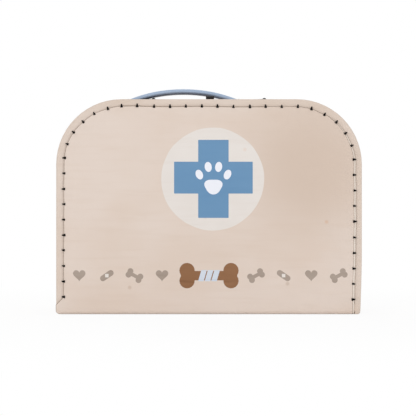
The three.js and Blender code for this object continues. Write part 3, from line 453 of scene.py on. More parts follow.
def addWorld():
    world = bpy.data.worlds.new("studio")
    bpy.context.scene.world = world
    world.use_nodes = True
    tree = world.node_tree
    tree.nodes.clear()
    soft = addNode(tree, "ShaderNodeBackground", {"Color": (1, 1, 1, 1), "Strength": studio["world"]})
    plain = addNode(tree, "ShaderNodeBackground", {"Color": (1, 1, 1, 1), "Strength": 1.0})
    endMix(tree, seenDirectly(tree), soft, plain, "ShaderNodeOutputWorld")


def addLights():
    for name, (place, power, size) in studio["lamps"].items():
        data = bpy.data.lights.new(name, "AREA")
        data.energy = power
        data.size = size
        lamp = newObject(name, data)
        lamp.location = place
        aim = Vector(studio["aim"]) - Vector(place)
        lamp.rotation_euler = aim.to_track_quat("-Z", "Y").to_euler()
    bpy.context.scene.view_settings.view_transform = "Standard"
    print("stage and lights made")


# Meshes

solid = {
    "join": 0.002,  # points this near become one
    "flat": 0.5,  # faces that turn by less become one, in degrees
    "profile": 0.6,
    "tiny": 0.001,
    "smooth": 40,  # edges that turn by more stay sharp, in degrees
    "smoothCurved": 30,
}


def newPiece(name, mesh, body, replaced=()):
    made = newObject(name, mesh)
    if body:
        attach(made, body)
    if replaced:
        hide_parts(*replaced)
    return made


# Smooth, but for edges that turn by more than the angle in degrees
def smooth(mesh, angle):
    mesh.shade_smooth()
    mesh.set_sharp_from_angle(angle=math.radians(angle))


# The mesh of a bmesh, with its finishes in the order of its material numbers
def meshOf(bm, name, finish=(), angle=solid["smooth"], outwards=True):
    if outwards:
        bmesh.ops.recalc_face_normals(bm, faces=bm.faces)
    mesh = bpy.data.meshes.new(name)
    bm.to_mesh(mesh)
    bm.free()
    for key in finish:
        mesh.materials.append(materials[key])
    smooth(mesh, angle)
    return mesh


# A finer copy of a frame node in its place. The rounded edges take the second finish, unless choose names
# the finish of each face.
def dressed(node, finish, body="root", edge=0.0, segments=2, sharpFrom=50, choose=None):
    bm = bmesh.new()
    bm.from_mesh(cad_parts[node].data)
    bmesh.ops.remove_doubles(bm, verts=bm.verts, dist=solid["join"] * mm)
    bmesh.ops.dissolve_limit(bm, angle_limit=math.radians(solid["flat"]), verts=bm.verts, edges=bm.edges)
    if choose:
        for face in bm.faces:
            face.material_index = finish.index(choose(face))
    if edge:
        least = math.radians(sharpFrom)
        sharp = [e for e in bm.edges if len(e.link_faces) == 2 and e.calc_face_angle() > least]
        rounded = bmesh.ops.bevel(
            bm, geom=sharp, offset=edge * mm, segments=segments, profile=solid["profile"], affect="EDGES",
            clamp_overlap=True)["faces"]
        if len(finish) > 1 and not choose:
            for face in rounded:
                face.material_index = 1
        bmesh.ops.dissolve_degenerate(bm, dist=solid["tiny"] * mm, edges=bm.edges)
    mesh = meshOf(bm, node, finish, outwards=False)
    return newPiece(node + "_finish", mesh, body, [node])


# Joins rings of points into a closed shape; flat says that a ring is two lines of points, one over the other
def joinRings(bm, rings, closed=False, flat=False):
    count = len(rings[0])
    for one, two in zip(rings, rings[1:] + (rings[:1] if closed else [])):
        for k in range(count):
            bm.faces.new((one[k], one[(k + 1) % count], two[(k + 1) % count], two[k]))
    for ring in () if closed else (rings[0][::-1], rings[-1]):
        if flat:
            for k in range(count // 2 - 1):
                bm.faces.new((ring[k], ring[k + 1], ring[-2 - k], ring[-1 - k]))
        else:
            bm.faces.new(ring)


# The sewn sheet of each half

sheet = {
    "thickness": 1.4,
    "fold": 4.0,  # outer radius of the fold at the foot
    "foldSteps": 6,
    "seamInset": 7.0,
    "cornerRadius": 64.0,
    "footCorner": 3.5,  # radius of the corners at the very foot
    "mitreFoot": 9.4,  # height at which the diagonal cut leaves the case's edge
    "clothWidth": 12.0,
    "clothRebate": 0.65,
    "rebateStep": 0.2,
    "foldLineInset": 1.0,
    "edge": 0.42,  # width of the dark ring along the paper's cut edge, painted shade of the seam line
    "edgeDrop": 0.3,  # how far the cut edge of the paper is rubbed down
    "pucker": 0.22,  # how far the edge is drawn in at each stitch
    "puckerReach": 7.0,  # how far inside the edge that is felt
    "puckerRows": (2.4, 4.6, 7.0),
    "bow": 0.35,  # how far the middle stands out
    "bowRows": (9, 12),
    "mergePoints": 1e-5,
}
sheetFinish = ["board", "cutEdgeAndPaintedShade", "bareEdgePaintedShade", "bareBoard", "lining",
               "discInk", "crossInk", "pawInk", "taupeInk", "brownInk", "wrapInk"]
bare = {  # the bare strip of board on the right, wider downwards
    "from": 0.4,  # share of the right corner
    "width": 1.25,
    "least": 0.15,
    "line": 0.38,  # width of the shadow beside the paper's edge
    "grow": 60.0,  # length over which it widens
    "steps": 60,
    "edgeInset": 0.02,
}
gap = {"start": 0.362, "end": 0.585, "width": 0.3}  # where a dark strip is painted inside the top seam: painted shade of a seam that stands more open
seam = {
    "leftFoot": 17.2,
    "rightFoot": 14.8,
    # stitches and pitch of the left side, its corner, the top, the right corner and its side
    "runs": [(9, 15.1), (6, 13.9), (11, 15.7), (6, 13.9), (9, 15.2)],
    "uneven": 0.45,  # how far a stitch strays along the seam
    "pull": 0.32,  # how far it draws the cut edge in or lets it out
    # how far out the hand-cut edge lies at each share of the way round
    "drift": {0.0: -0.7, 0.2: -0.7, 0.25: -0.9, 0.33: -0.8, 0.36: 0.2, 0.38: 0.3, 0.395: -0.1, 0.56: -0.3,
              0.61: -0.7, 0.64: -0.6, 0.652: -1.1, 0.664: -0.9, 0.677: -1.6, 0.69: -0.6, 0.745: -0.3,
              0.785: 0.7, 0.88: 0.9, 0.94: 0.2, 1.0: -0.2},
    "pointsPerStitch": 6,
    "seed": 11,
}

# The seam runs from its left foot up the side, over the top and down to its right foot
seamHalf = caseHalf - sheet["seamInset"]
seamTop = caseTop - sheet["seamInset"]
seamRadius = sheet["cornerRadius"] - sheet["seamInset"]
topHalf = seamHalf - seamRadius  # half the straight top
sideTop = seamTop - seamRadius  # where the straight sides end
cornerRun = math.pi * seamRadius / 2
seamMiddle = sideTop - seam["leftFoot"] + cornerRun + topHalf
seamLength = seamMiddle + topHalf + cornerRun + sideTop - seam["rightFoot"]
bottomStart = sheet["fold"] * (1 - math.pi / 2)  # where the fold ends on the flat sheet


# A point of the seam by its distance from the left foot, and its outward direction
def seamPoint(station):
    side = 1 if station > seamMiddle else -1
    run = abs(station - seamMiddle) - topHalf
    if run <= 0:
        return (side * (topHalf + run), seamTop), (0.0, 1.0)
    turn = min(run / seamRadius, math.pi / 2)
    out = (side * math.sin(turn), math.cos(turn))
    drop = max(run - cornerRun, 0.0)
    return (side * topHalf + seamRadius * out[0], sideTop + seamRadius * out[1] - drop), out


# How far along the seam, and how far inside it, a point of the sheet lies
def seamStation(x, z):
    side = -1 if x < 0 else 1
    across, up = abs(x) - topHalf, z - sideTop
    if up < 0:
        return seamMiddle + side * (topHalf + cornerRun - up), seamHalf - abs(x)
    if across > 0:
        run = topHalf + seamRadius * math.atan2(across, up)
        return seamMiddle + side * run, seamRadius - math.hypot(across, up)
    return seamMiddle + x, seamTop - z


# Where each stitch falls along the seam, closer round the corners, and how far it pulls the edge in
def sewSeam():
    chance = random.Random(seam["seed"])
    pitches = [pitch for count, pitch in seam["runs"] for _ in range(count)]
    stations = [0.0]
    for pitch in pitches:
        stations.append(stations[-1] + pitch * seamLength / sum(pitches))
    for i in range(1, len(pitches)):
        stations[i] += chance.uniform(-seam["uneven"], seam["uneven"])
    return stations, [chance.uniform(-seam["pull"], seam["pull"]) for _ in stations]


stitchStations, stitchPulls = sewSeam()


# The last of some rising places before this one, and the share of the way to the next
def between(places, place):
    index = min(max(bisect_right(places, place) - 1, 0), len(places) - 2)
    start, end = places[index], places[index + 1]
    return index, clipped((place - start) / (end - start))


def valueAt(places, values, place):
    index, share = between(places, place)
    return values[index] * (1 - share) + values[index + 1] * share


def insidePoint(station, inset):
    (x, z), (outX, outZ) = seamPoint(station)
    drift = valueAt(list(seam["drift"]), list(seam["drift"].values()), station / seamLength)
    away = inset + valueAt(stitchStations, stitchPulls, station) - drift
    return x - outX * away, z - outZ * away


# Points along the seam at a distance inside the cut edge, even between each two stitches
def seamLine(inset, start=0.0, end=seamLength):
    steps = seam["pointsPerStitch"]
    stations = {start, end}
    for one, two in zip(stitchStations, stitchStations[1:]):
        stations.update(one + (two - one) * i / steps for i in range(steps))
    return [insidePoint(station, inset) for station in sorted(stations) if start <= station <= end]


# Outline of the flat cut sheet: x across, v up the face and, below the fold, on along the bottom
def sheetPattern(depth, inset=0.0):
    fold, foot, steps = sheet["fold"], sheet["footCorner"], sheet["foldSteps"]
    end = bottomStart - (depth - fold) + inset
    mitre = sheet["mitreFoot"] + inset * (math.sqrt(2) - 1)
    left = [(inset - caseHalf + foot, end)]
    for i in range(steps + 1):
        turn = math.pi / 2 * (1 - i / steps)
        low = max(foot - fold + fold * math.sin(turn), 0.0)  # how far below the top of the foot's corner
        wide = caseHalf - foot + math.sqrt(max(foot ** 2 - low ** 2, 0.0))
        left.append((inset - wide, fold - fold * turn))
    left += [(inset - caseHalf, mitre - inset), (inset - seamHalf, mitre + sheet["seamInset"] - inset)]
    return left + seamLine(inset) + [(seamHalf - inset, bottomStart), (seamHalf - inset, end)]


# Painted shade of a more open seam on top, and on the right the sheet's edge as a paler painted shade line,
# the bare board beside it, and a painted shadow beside the paper's edge
def bareStrip():
    edge = sheet["edge"]
    ends = (gap["start"] * seamLength, gap["end"] * seamLength)
    start = seamMiddle + topHalf + bare["from"] * cornerRun
    strips = [(seamLine(edge, *ends) + seamLine(edge + gap["width"], *ends)[::-1], "cutEdgeAndPaintedShade"),
              (seamLine(bare["edgeInset"], start) + seamLine(edge, start)[::-1], "bareEdgePaintedShade")]
    for line, key in ((bare["line"], "cutEdgeAndPaintedShade"), (0.0, "bareBoard")):
        outer, inner = seamLine(edge, start), []
        for i in range(bare["steps"] + 1):
            station = start + (seamLength - start) * i / bare["steps"]
            width = bare["least"] + line + bare["width"] * clipped((station - start) / bare["grow"])
            inner.append(insidePoint(station, edge + width))
        for side in (outer, inner):
            side.append((side[-1][0], bottomStart))
        strips.append((outer + inner[::-1], key))
    return strips


# Level lines across the sheet where it bends or steps
def foldLines(depth):
    half = seamHalf - sheet["foldLineInset"]
    rebate = bottomStart - (depth - sheet["fold"]) + sheet["clothWidth"]
    steps = sheet["foldSteps"]
    levels = [sheet["fold"] * (1 - math.pi / 2 * i / steps) for i in range(steps + 1)]
    levels += [rebate, rebate - sheet["rebateStep"]]
    return [[(-half, level), (half, level)] for level in levels]


# How far the face stands out: a slight bow, and the edge drawn in at the stitches
def sheetRelief(x, v):
    station, inside = seamStation(x, v)
    bow = sheet["bow"] * clipped(1 - (x / seamHalf) ** 2) * math.sin(math.pi * clipped(v / seamTop))
    if inside > sheet["puckerReach"] or not 0 <= station <= seamLength:
        return bow
    fade = 1 - max(inside, 0) / sheet["puckerReach"]
    draw = 0.5 + 0.5 * math.cos(2 * math.pi * between(stitchStations, station)[1])
    return bow - sheet["pucker"] * fade * fade * draw


# A point of the flat sheet folded into place, y from the outer face inwards
def foldedPoint(x, v, depth, inner):
    fold = sheet["fold"]
    thick = sheet["thickness"] if inner else 0.0
    if v >= fold:
        return Vector((x, thick if inner else -sheetRelief(x, v), v)) * mm
    if v > bottomStart:
        turn, radius = (fold - v) / fold, fold - thick
        return Vector((x, fold - radius * math.cos(turn), fold - radius * math.sin(turn))) * mm
    y = fold + bottomStart - v
    under = y > depth - sheet["clothWidth"] + sheet["rebateStep"] / 2
    rebate = sheet["clothRebate"] if under else 0.0
    return Vector((x, y, thick if inner else rebate)) * mm


# The print on the lid: sizes and places on the face; a motif's own forms are shares of its size

prints = {
    "disc": dict(x=3.5, z=132.6, radius=50.3, wobble=0.5, waves=3, seed=4.7, steps=140),
    "cross": dict(x=4.3, z=132.7, halfWidth=38.5, halfHeight=38.2, upright=14.9, level=15.6, rise=1.2,
                  corner=0.4),
    "paw": dict(x=4.3, z=131.5, size=15.0),
    "row": dict(z=38.0, spacing=27.0, each=4, size=13.0, gap=46.0),
    "smallBone": dict(length=1.3, girth=0.62, turn=0.5),
    "plaster": dict(length=1.15, turn=-0.6, round=0.19, pad=0.26, steps=12),
    "bone": dict(x=0.0, z=38.0, length=58.0, girth=20.8),
    "wraps": dict(each=3, spacing=6.4, width=5.4, height=10.92, lean=1.6),
    "knob": dict(radius=0.36, apart=0.72, shaft=0.22, notch=0.62, steps=12),
    "pad": dict(reach=0.52, lobes=0.055, broader=0.05, wide=1.12, high=0.92, drop=0.36, steps=48),
    # each toe's x, z and turn
    "toes": [(-0.92, 0.36, 0.42), (-0.34, 0.86, 0.14), (0.34, 0.86, -0.14), (0.92, 0.36, -0.42)],
    "toeSize": (0.23, 0.33),
    "toeSteps": 28,
    "heartSteps": 40,
}


def roundTurns(steps):
    return [2 * math.pi * i / steps for i in range(steps)]


# A shape about its own middle, turned and moved into place
def placed(points, x, z, turn=0.0):
    c, s = math.cos(turn), math.sin(turn)
    return [(x + px * c - pz * s, z + px * s + pz * c) for px, pz in points]


# A plain cross, its outer corners just softened by the print
def crossShape(x, z, halfWidth, halfHeight, upright, level, rise, corner):
    low, high = rise - level, rise + level
    ends = [((halfWidth, low), (halfWidth, high)), ((upright, halfHeight), (-upright, halfHeight)),
            ((-halfWidth, high), (-halfWidth, low)), ((-upright, -halfHeight), (upright, -halfHeight))]
    inner = [(upright, low), (upright, high), (-upright, high), (-upright, low)]
    shape = []
    for pair, notch, after in zip(ends, inner, inner[1:] + inner[:1]):
        first, second, notch, after = (Vector(point) for point in (*pair, notch, after))
        outside = (second - first).normalized() * corner
        shape += [first + (notch - first).normalized() * corner, first + outside,
                  second - outside, second + (after - second).normalized() * corner, after]
    return placed(shape, x, z)


# A painted disc: round, but for the brush
def discShape(x, z, radius, wobble, waves, seed, steps):
    points = []
    for turn in roundTurns(steps):
        way = Vector((math.cos(turn), math.sin(turn), 0))
        points.append(way * (radius + wobble * noise.noise(way * waves + Vector((0, 0, seed)))))
    return placed([point.xy for point in points], x, z)


# An upright, even paw mark: a three-lobed pad and four toes
def pawShapes(x, z, size):
    form, pad = prints["pad"], []
    for turn in roundTurns(form["steps"]):
        lobes = form["lobes"] * math.cos(3 * (turn + math.pi / 2))
        reach = size * (form["reach"] + lobes - form["broader"] * math.sin(turn))
        pad.append((form["wide"] * reach * math.cos(turn), form["high"] * reach * math.sin(turn)))
    wide, high = prints["toeSize"]
    toe = [(wide * size * math.cos(a), high * size * math.sin(a)) for a in roundTurns(prints["toeSteps"])]
    toes = [placed(toe, x + dx * size, z + dz * size, turn) for dx, dz, turn in prints["toes"]]
    return [placed(pad, x, z - form["drop"] * size)] + toes


# A plain bone: a straight shaft with two knobs at each end, as one outline
def boneShape(x, z, length, girth, turn=0.0):
    form = prints["knob"]
    knob = girth * form["radius"]
    end, rise = length / 2 - knob, girth / 2 - knob * form["apart"]
    start = math.pi - math.asin((girth * form["shaft"] - rise) / knob)
    turns = [start - (start + form["notch"]) * i / form["steps"] for i in range(form["steps"] + 1)]
    lobe = [(end + knob * math.cos(a), rise + knob * math.sin(a)) for a in turns]
    lobe += [(px, -pz) for px, pz in reversed(lobe)]
    return placed(lobe + [(-px, -pz) for px, pz in lobe], x, z, turn)


# The usual formula for a heart, which is 32 units wide, scaled so that 34 units are its size
def heartShape(x, z, size):
    points, unit = [], size / 34
    for t in roundTurns(prints["heartSteps"]):
        height = 13 * math.cos(t) - 5 * math.cos(2 * t) - 2 * math.cos(3 * t) - math.cos(4 * t)
        points.append((16 * math.sin(t) ** 3 * unit, (height + 2) * unit))
    return placed(points, x, z)


# A sticking plaster: a strip with round ends
def plasterShape(x, z, size, turn):
    radius, steps = size * prints["plaster"]["round"], prints["plaster"]["steps"]
    half, turns = size / 2, [math.pi * (i / steps - 0.5) for i in range(steps + 1)]
    points = [(half - radius + radius * math.cos(a), radius * math.sin(a)) for a in turns]
    return placed(points + [(-px, -pz) for px, pz in points], x, z, turn)


# A strip whose sides lean, as the wrap round the bone has
def leaningStrip(x, z, width, height, lean):
    half, high = width / 2, height / 2
    corners = [(-half - lean, -high), (half - lean, -high), (half + lean, high), (lean - half, high)]
    return placed(corners, x, z)


# The small motifs of the row at the foot: hearts, bones and plasters in turn
def rowShapes():
    shapes = []
    row, bone, plaster = prints["row"], prints["smallBone"], prints["plaster"]
    z, size = row["z"], row["size"]
    for side in (-1, 1):
        for i in range(row["each"]):
            x = side * (row["gap"] + i * row["spacing"])
            kind = (i + (side > 0)) % 3
            if kind == 0:
                outline = heartShape(x, z, size)
            elif kind == 1:
                outline = boneShape(x, z, size * bone["length"], size * bone["girth"], side * bone["turn"])
            else:
                outline = plasterShape(x, z, size * plaster["length"], side * plaster["turn"])
            shapes.append((outline, "taupeInk"))
            if kind == 2:
                pad = size * plaster["pad"]
                shapes.append((leaningStrip(x, z, pad, pad, 0), "discInk"))
    return shapes


# Every printed area in the order it lies on the paper: outline and finish
def printShapes():
    bone, wraps = prints["bone"], prints["wraps"]
    shapes = [(discShape(**prints["disc"]), "discInk"), (crossShape(**prints["cross"]), "crossInk")]
    shapes += [(outline, "pawInk") for outline in pawShapes(**prints["paw"])]
    shapes += rowShapes() + [(boneShape(**bone), "brownInk")]
    for i in range(wraps["each"]):
        x = bone["x"] + (i - 1) * wraps["spacing"]
        shapes.append((leaningStrip(x, bone["z"], wraps["width"], wraps["height"], wraps["lean"]), "wrapInk"))
    return shapes


def anticlockwise(outline):
    area = sum(a[0] * b[1] - b[0] * a[1] for a, b in zip(outline, outline[1:] + outline[:1]))
    return outline if area > 0 else outline[::-1]


# The flat sheet cut into triangles along its prints, folds and seam: its points, and each triangle's finish
def cutSheet(depth, shapes):
    # The outer ring of the face is painted shade along the seam; inside it lies the printed board
    outlines = [(sheetPattern(depth), "cutEdgeAndPaintedShade"), (sheetPattern(depth, sheet["edge"]), "board")]
    outlines += bareStrip() + shapes
    points, edges, faces = [], [], []
    for outline, _ in outlines:
        start = len(points)
        points += anticlockwise(outline)
        faces.append(list(range(start, len(points))))
    for line in foldLines(depth) + [seamLine(inset) for inset in sheet["puckerRows"]]:
        edges += [(len(points) + i, len(points) + i + 1) for i in range(len(line) - 1)]
        points += line
    wide, high = sheet["bowRows"]
    points += [(seamHalf * (i / wide - 1), seamTop * k / high)
               for i in range(1, 2 * wide) for k in range(1, high)]
    points = [Vector(point) for point in points]
    cut, _, triangles, _, _, origins = delaunay_2d_cdt(points, edges, faces, 1, sheet["mergePoints"])
    finish = [sheetFinish.index(outlines[max(origin)][1]) if 0 in origin else None for origin in origins]
    return cut, [(triangle, number) for triangle, number in zip(triangles, finish) if number is not None]


# Folds the cut sheet and gives it its thickness
def buildSheet(name, depth, shapes, place, body, node):
    points, triangles = cutSheet(depth, shapes)
    bm = bmesh.new()
    outer = [bm.verts.new(foldedPoint(x, v, depth, False)) for x, v in points]
    inner = [bm.verts.new(foldedPoint(x, v, depth, True)) for x, v in points]
    rim = set()
    for (a, b, c), number in triangles:
        bm.faces.new((outer[a], outer[b], outer[c])).material_index = number
        bm.faces.new((inner[c], inner[b], inner[a])).material_index = sheetFinish.index("lining")
        for one, two in ((a, b), (b, c), (c, a)):
            if (two, one) in rim:
                rim.discard((two, one))
            else:
                rim.add((one, two))
    for one, two in sorted(rim):
        wall = bm.faces.new((outer[two], outer[one], inner[one], inner[two]))
        wall.material_index = sheetFinish.index("cutEdgeAndPaintedShade")
    for index in sorted({one for one, _ in rim}):
        way = inner[index].co - outer[index].co
        outer[index].co += way.normalized() * sheet["edgeDrop"] * mm
    bmesh.ops.delete(bm, geom=[v for v in bm.verts if not v.link_faces], context="VERTS")
    bm.transform(place)
    mesh = meshOf(bm, name, sheetFinish, solid["smoothCurved"])
    return newPiece(name, mesh, body, [node])


def addSheets():
    lidPlace = Matrix.Translation((0, frontY, 0))
    basePlace = Matrix.Translation((0, backY, 0)) @ Matrix.Rotation(math.pi, 4, "Z")
    buildSheet("lid_sheet", (lidHigh.y - frontY) / mm, printShapes(), lidPlace, "lid", "lid_panel")
    buildSheet("base_sheet", (backY - baseLow.y) / mm, [], basePlace, "root", "base_panel")
    print("sheets cut, folded and printed")


# The side bands and the collar

bands = {
    "middle": 90.0,  # a height well inside, which the outer faces look away from
    "flangeFrom": 0.7,  # from which share of its normal along Y on a face is a flange or an edge
    "seamReach": 0.6,
    "edge": 0.25,
    "collarEdge": 0.2,
    "collarSharp": 32,
}
footLean = {
    "reach": 58.0,  # height below which the rim is drawn in
    "draw": 2.0,
    "width": 8.0,  # how far in from the edge that is felt
    "depth": 16.0,  # and how far behind the front
    "power": 1.5,
    "cuts": 6,
    "depthCuts": (0.5, 1.0),
    "crease": (5.0, 1.0),  # how far inside the edge the sharp corner starts and is full
}


# Printed outside, cut at the seam, and lined inside
def bandFinish(face):
    centre, normal = face.calc_center_median(), face.normal
    if abs(normal.y) < bands["flangeFrom"]:
        away = Vector((centre.x, 0, centre.z - bands["middle"] * mm))
        return "bandPaper" if normal.dot(away) > 0 else "lining"
    if abs(centre.y - seamY) < bands["seamReach"] * mm:
        return "cutEdgeAndPaintedShade"
    return "bandPaper" if normal.y * (centre.y - seamY) > 0 else "lining"


# The lid's rim is drawn in towards its right foot, most at the front edge
def drawFootIn(mesh):
    reach, width, depth, count = (footLean[key] for key in ("reach", "width", "depth", "cuts"))
    front, corner = frontY / mm, sheet["footCorner"]
    creaseStart, creaseEnd = footLean["crease"]
    bm = bmesh.new()
    bm.from_mesh(mesh)
    cuts = [((0, 0, reach * (i + 1) / count), (0, 0, 1)) for i in range(count)]
    cuts += [((0, front + depth * share, 0), (0, 1, 0)) for share in footLean["depthCuts"]]
    cuts.append(((caseHalf - width, 0, 0), (1, 0, 0)))
    for point, normal in cuts:
        near = [face for face in bm.faces if max(v.co.x for v in face.verts) > (caseHalf - width) * mm
                and min(v.co.z for v in face.verts) < reach * mm]
        parts = {part for face in near for part in (face, *face.edges, *face.verts)}
        bmesh.ops.bisect_plane(
            bm, geom=list(parts), dist=solid["tiny"] * mm, plane_co=Vector(point) * mm, plane_no=normal)
    for vert in bm.verts:
        x, y, z = vert.co / mm
        near = clipped(1 - (y - front) / depth)
        share = clipped((x - caseHalf + width) / width) * near
        vert.co.x -= footLean["draw"] * clipped(1 - z / reach) ** footLean["power"] * share * mm
        if z < corner:
            sharp = clipped((x - caseHalf + creaseStart) / (creaseStart - creaseEnd)) * near
            vert.co.z -= sharp * z * (1 - z / corner) * mm
    bm.to_mesh(mesh)
    bm.free()


def addBands():
    finish = ["bandPaper", "cutEdgeAndPaintedShade", "lining"]
    lidBand = dressed("lid_band", finish, "lid", edge=bands["edge"], choose=bandFinish)
    drawFootIn(lidBand.data)
    dressed("base_band", finish, edge=bands["edge"], choose=bandFinish)
    dressed("base_collar", ["collarCard"], edge=bands["collarEdge"],
            sharpFrom=bands["collarSharp"])
    print("bands and collar made")


# Geometry trees: what they repeat becomes real meshes in one material


def repeated(tree, points, shape, **inputs):
    shape = addNode(tree, "GeometryNodeObjectInfo", {"Object": shape}).outputs["Geometry"]
    inputs.update(Points=points, Instance=shape)
    return addNode(tree, "GeometryNodeInstanceOnPoints", inputs).outputs[0]


def endTree(tree, out, geometry, material):
    real = addNode(tree, "GeometryNodeRealizeInstances", {"Geometry": geometry}).outputs[0]
    inked = addNode(tree, "GeometryNodeSetMaterial", {"Geometry": real, "Material": material})
    feed(tree, out[0], inked.outputs[0])
    return tree


# Runs a tree on some data and keeps the result as a plain piece, moved into place in its mesh
def grownPiece(name, data, tree, values, body, shift=(0, 0, 0), angle=solid["smoothCurved"]):
    holder = newObject(name + "_holder", data)
    modifier = holder.modifiers.new("grow", "NODES")
    modifier.node_group = tree
    for item in tree.interface.items_tree:
        if item.in_out == "INPUT" and item.name in values:
            modifier[item.identifier] = values[item.name]
    bpy.context.view_layer.update()
    mesh = bpy.data.meshes.new_from_object(holder.evaluated_get(bpy.context.evaluated_depsgraph_get()))
    mesh.name = name
    holder.modifiers.remove(modifier)
    bpy.data.objects.remove(holder)
    mesh.transform(Matrix.Translation(shift))
    smooth(mesh, angle)
    return newPiece(name, mesh, body)


# The thread: one stitch, and the tree that sews it along the seam

stitch = {
    "inside": 1.6,  # from the cut edge in to its hole
    "outside": 2.2,  # from the cut edge out to its hole
    "shift": 1.35,  # how much further in it sits where the bare strip shows
    "shiftFrom": 0.83,  # from this share of the right corner on
    "rise": 0.4,
    "under": 1.6,  # how far its outer end lies below the face
    "foldOver": (0.7, 4.0),  # where beyond the cut edge it turns down, and how sharply
    "sunk": 0.9,  # how far its two ends go on into their holes
    "strand": 0.68,
    "taper": 0.5,
    "tip": 0.75,  # share of the strand's girth where it leaves its hole
    "spread": 0.6,  # how far each strand lies from the middle
    "closed": 0.08,  # share of the spread that is left at the outer hole
    "parting": (0.72, 1.6),  # share at the inner hole, and how fast it grows from there
    "ply": 0.12,
    "plyTurn": 5,
    "twist": 1.4,
    "steps": 10,
    "sides": 8,
    "wander": 0.08,
    "sizes": (0.9, 1.08),
    "seed": 7,
}


# Two strands side by side at the inner hole that run over the cut edge into one outer hole, X inwards
def stitchMesh(shift):
    bm = bmesh.new()
    inside, outside = stitch["inside"] + shift, stitch["outside"] - shift
    edge, sharpness = stitch["foldOver"]
    closed, (first, growth) = stitch["closed"], stitch["parting"]
    for strand in (-1, 1):
        rings = []
        for i in range(stitch["steps"] + 1):
            t = i / stitch["steps"]
            x = inside - (inside + outside) * t
            over = 1 / (1 + math.exp(sharpness * (x + edge)))
            z = stitch["rise"] - stitch["under"] * over - (stitch["sunk"] if i in (0, stitch["steps"]) else 0)
            apart = (closed + (1 - closed) * math.cos(math.pi / 2 * t)) * min(1.0, first + growth * t)
            middle = Vector((x, strand * stitch["spread"] * apart, z))
            radius = stitch["strand"] * (1.0 - stitch["taper"] * t) * (stitch["tip"] if i == 0 else 1.0)
            ring = []
            for turn in roundTurns(stitch["sides"]):
                a = turn + stitch["twist"] * t * math.pi * strand
                reach = radius * (1 + stitch["ply"] * math.cos(2 * a + stitch["plyTurn"] * t))
                ring.append(bm.verts.new((middle + Vector((0, math.cos(a), math.sin(a))) * reach) * mm))
            rings.append(ring)
        joinRings(bm, rings)
    return meshOf(bm, "stitch")


# Sews a stitch at each point of a curve, each a little different
def seamTree():
    tree, given, out = newTree("Geometry", "sewnSeam", {
        "Seam": ("Geometry", None), "Stitch": ("Object", None), "Off Face": ("Vector", (0, -1, 0)),
        "Wander": ("Float", stitch["wander"]), "Least": ("Float", stitch["sizes"][0]),
        "Most": ("Float", stitch["sizes"][1]), "Thread": ("Material", None), "Seed": ("Int", stitch["seed"]),
    }, {"Geometry": "Geometry"})
    points = addNode(tree, "GeometryNodeCurveToPoints", {"Curve": given["Seam"]}, mode="EVALUATED").outputs
    facing = addNode(tree, "FunctionNodeAxesToRotation", {0: given["Off Face"], 1: points["Tangent"]},
                     primary_axis="Z", secondary_axis="Y").outputs[0]

    def chance(low, high):
        inputs = {2: low, 3: high, "Seed": given["Seed"]}
        return addNode(tree, "FunctionNodeRandomValue", inputs, data_type="FLOAT").outputs[1]
    turn = chance(times(tree, given["Wander"], -1.0), given["Wander"])
    spin = addNode(tree, "ShaderNodeCombineXYZ", {2: turn}).outputs[0]
    turned = addNode(tree, "FunctionNodeRotateRotation", {0: facing, 1: spin}, rotation_space="LOCAL")
    size = chance(given["Least"], given["Most"])
    sewn = repeated(tree, points["Points"], given["Stitch"], Rotation=turned.outputs[0], Scale=size)
    return endTree(tree, out, sewn, given["Thread"])


# A line through the stitches, which the tree sews along
def seamCurve(name, y, side, stations):
    data = bpy.data.curves.new(name, "CURVE")
    data.dimensions = "3D"
    line = data.splines.new("POLY")
    line.points.add(len(stations) - 1)
    for point, station in zip(line.points, stations):
        x, z = insidePoint(station, 0.0)
        point.co = (side * x * mm, y, z * mm, 1)
    return data


def addStitches():
    tree = seamTree()
    shiftStart = seamMiddle + topHalf + stitch["shiftFrom"] * cornerRun
    halves = (("lid_", frontY, 1, "lid"), ("base_", backY, -1, "root"))
    for part, shift in (("stitches", 0.0), ("strip_stitches", stitch["shift"])):
        template = newObject("stitchTemplate", stitchMesh(shift))
        stations = [station for station in stitchStations if (station > shiftStart) == (shift > 0)]
        for half, y, side, body in halves:
            curve = seamCurve(half + part + "_line", y, side, stations)
            values = {"Stitch": template, "Off Face": (0, -side, 0), "Thread": materials["thread"]}
            piece = grownPiece(half + part, curve, tree, values, body, angle=180)
            print(piece.name, "stitches:", len(stations), "faces:", len(piece.data.polygons))
        bpy.data.objects.remove(template)


# The cloth strip along the hinge

clothStrip = {
    "thickness": 0.5, "bend": 2.4, "acrossSteps": 40, "alongSteps": 90,
    "wave": 0.05, "waveScale": (90, 160), "waveSeed": 3.1,  # waves to the metre along and across
}


# One strip across the seam, glued to both undersides
def addHingeCloth():
    low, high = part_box("lid_hinge_cloth")[0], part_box("base_hinge_cloth")[1]
    length, width = high.x - low.x, high.y - low.y
    across, along, bend = clothStrip["acrossSteps"], clothStrip["alongSteps"], clothStrip["bend"] * mm
    (scaleX, scaleY), seed = clothStrip["waveScale"], clothStrip["waveSeed"]
    xs = [low.x + length * k / along for k in range(along + 1)]
    bm = bmesh.new()
    rings = []
    for i in range(across + 1):
        y = low.y + width * i / across
        waves = [1 + noise.noise(Vector((x * scaleX, y * scaleY, seed))) for x in xs]
        under = [(x, y, clothStrip["wave"] * mm * wave) for x, wave in zip(xs, waves)]
        over = [(x, y, clothStrip["thickness"] * mm) for x in xs]
        rings.append([bm.verts.new(point) for point in under + over[::-1]])
    joinRings(bm, rings, flat=True)
    mesh = meshOf(bm, "hinge_cloth", ["bookCloth"])
    piece = newPiece("hinge_cloth", mesh, None, ["lid_hinge_cloth", "base_hinge_cloth"])
    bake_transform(piece)
    print("hinge cloth made")


# Handle and clasp

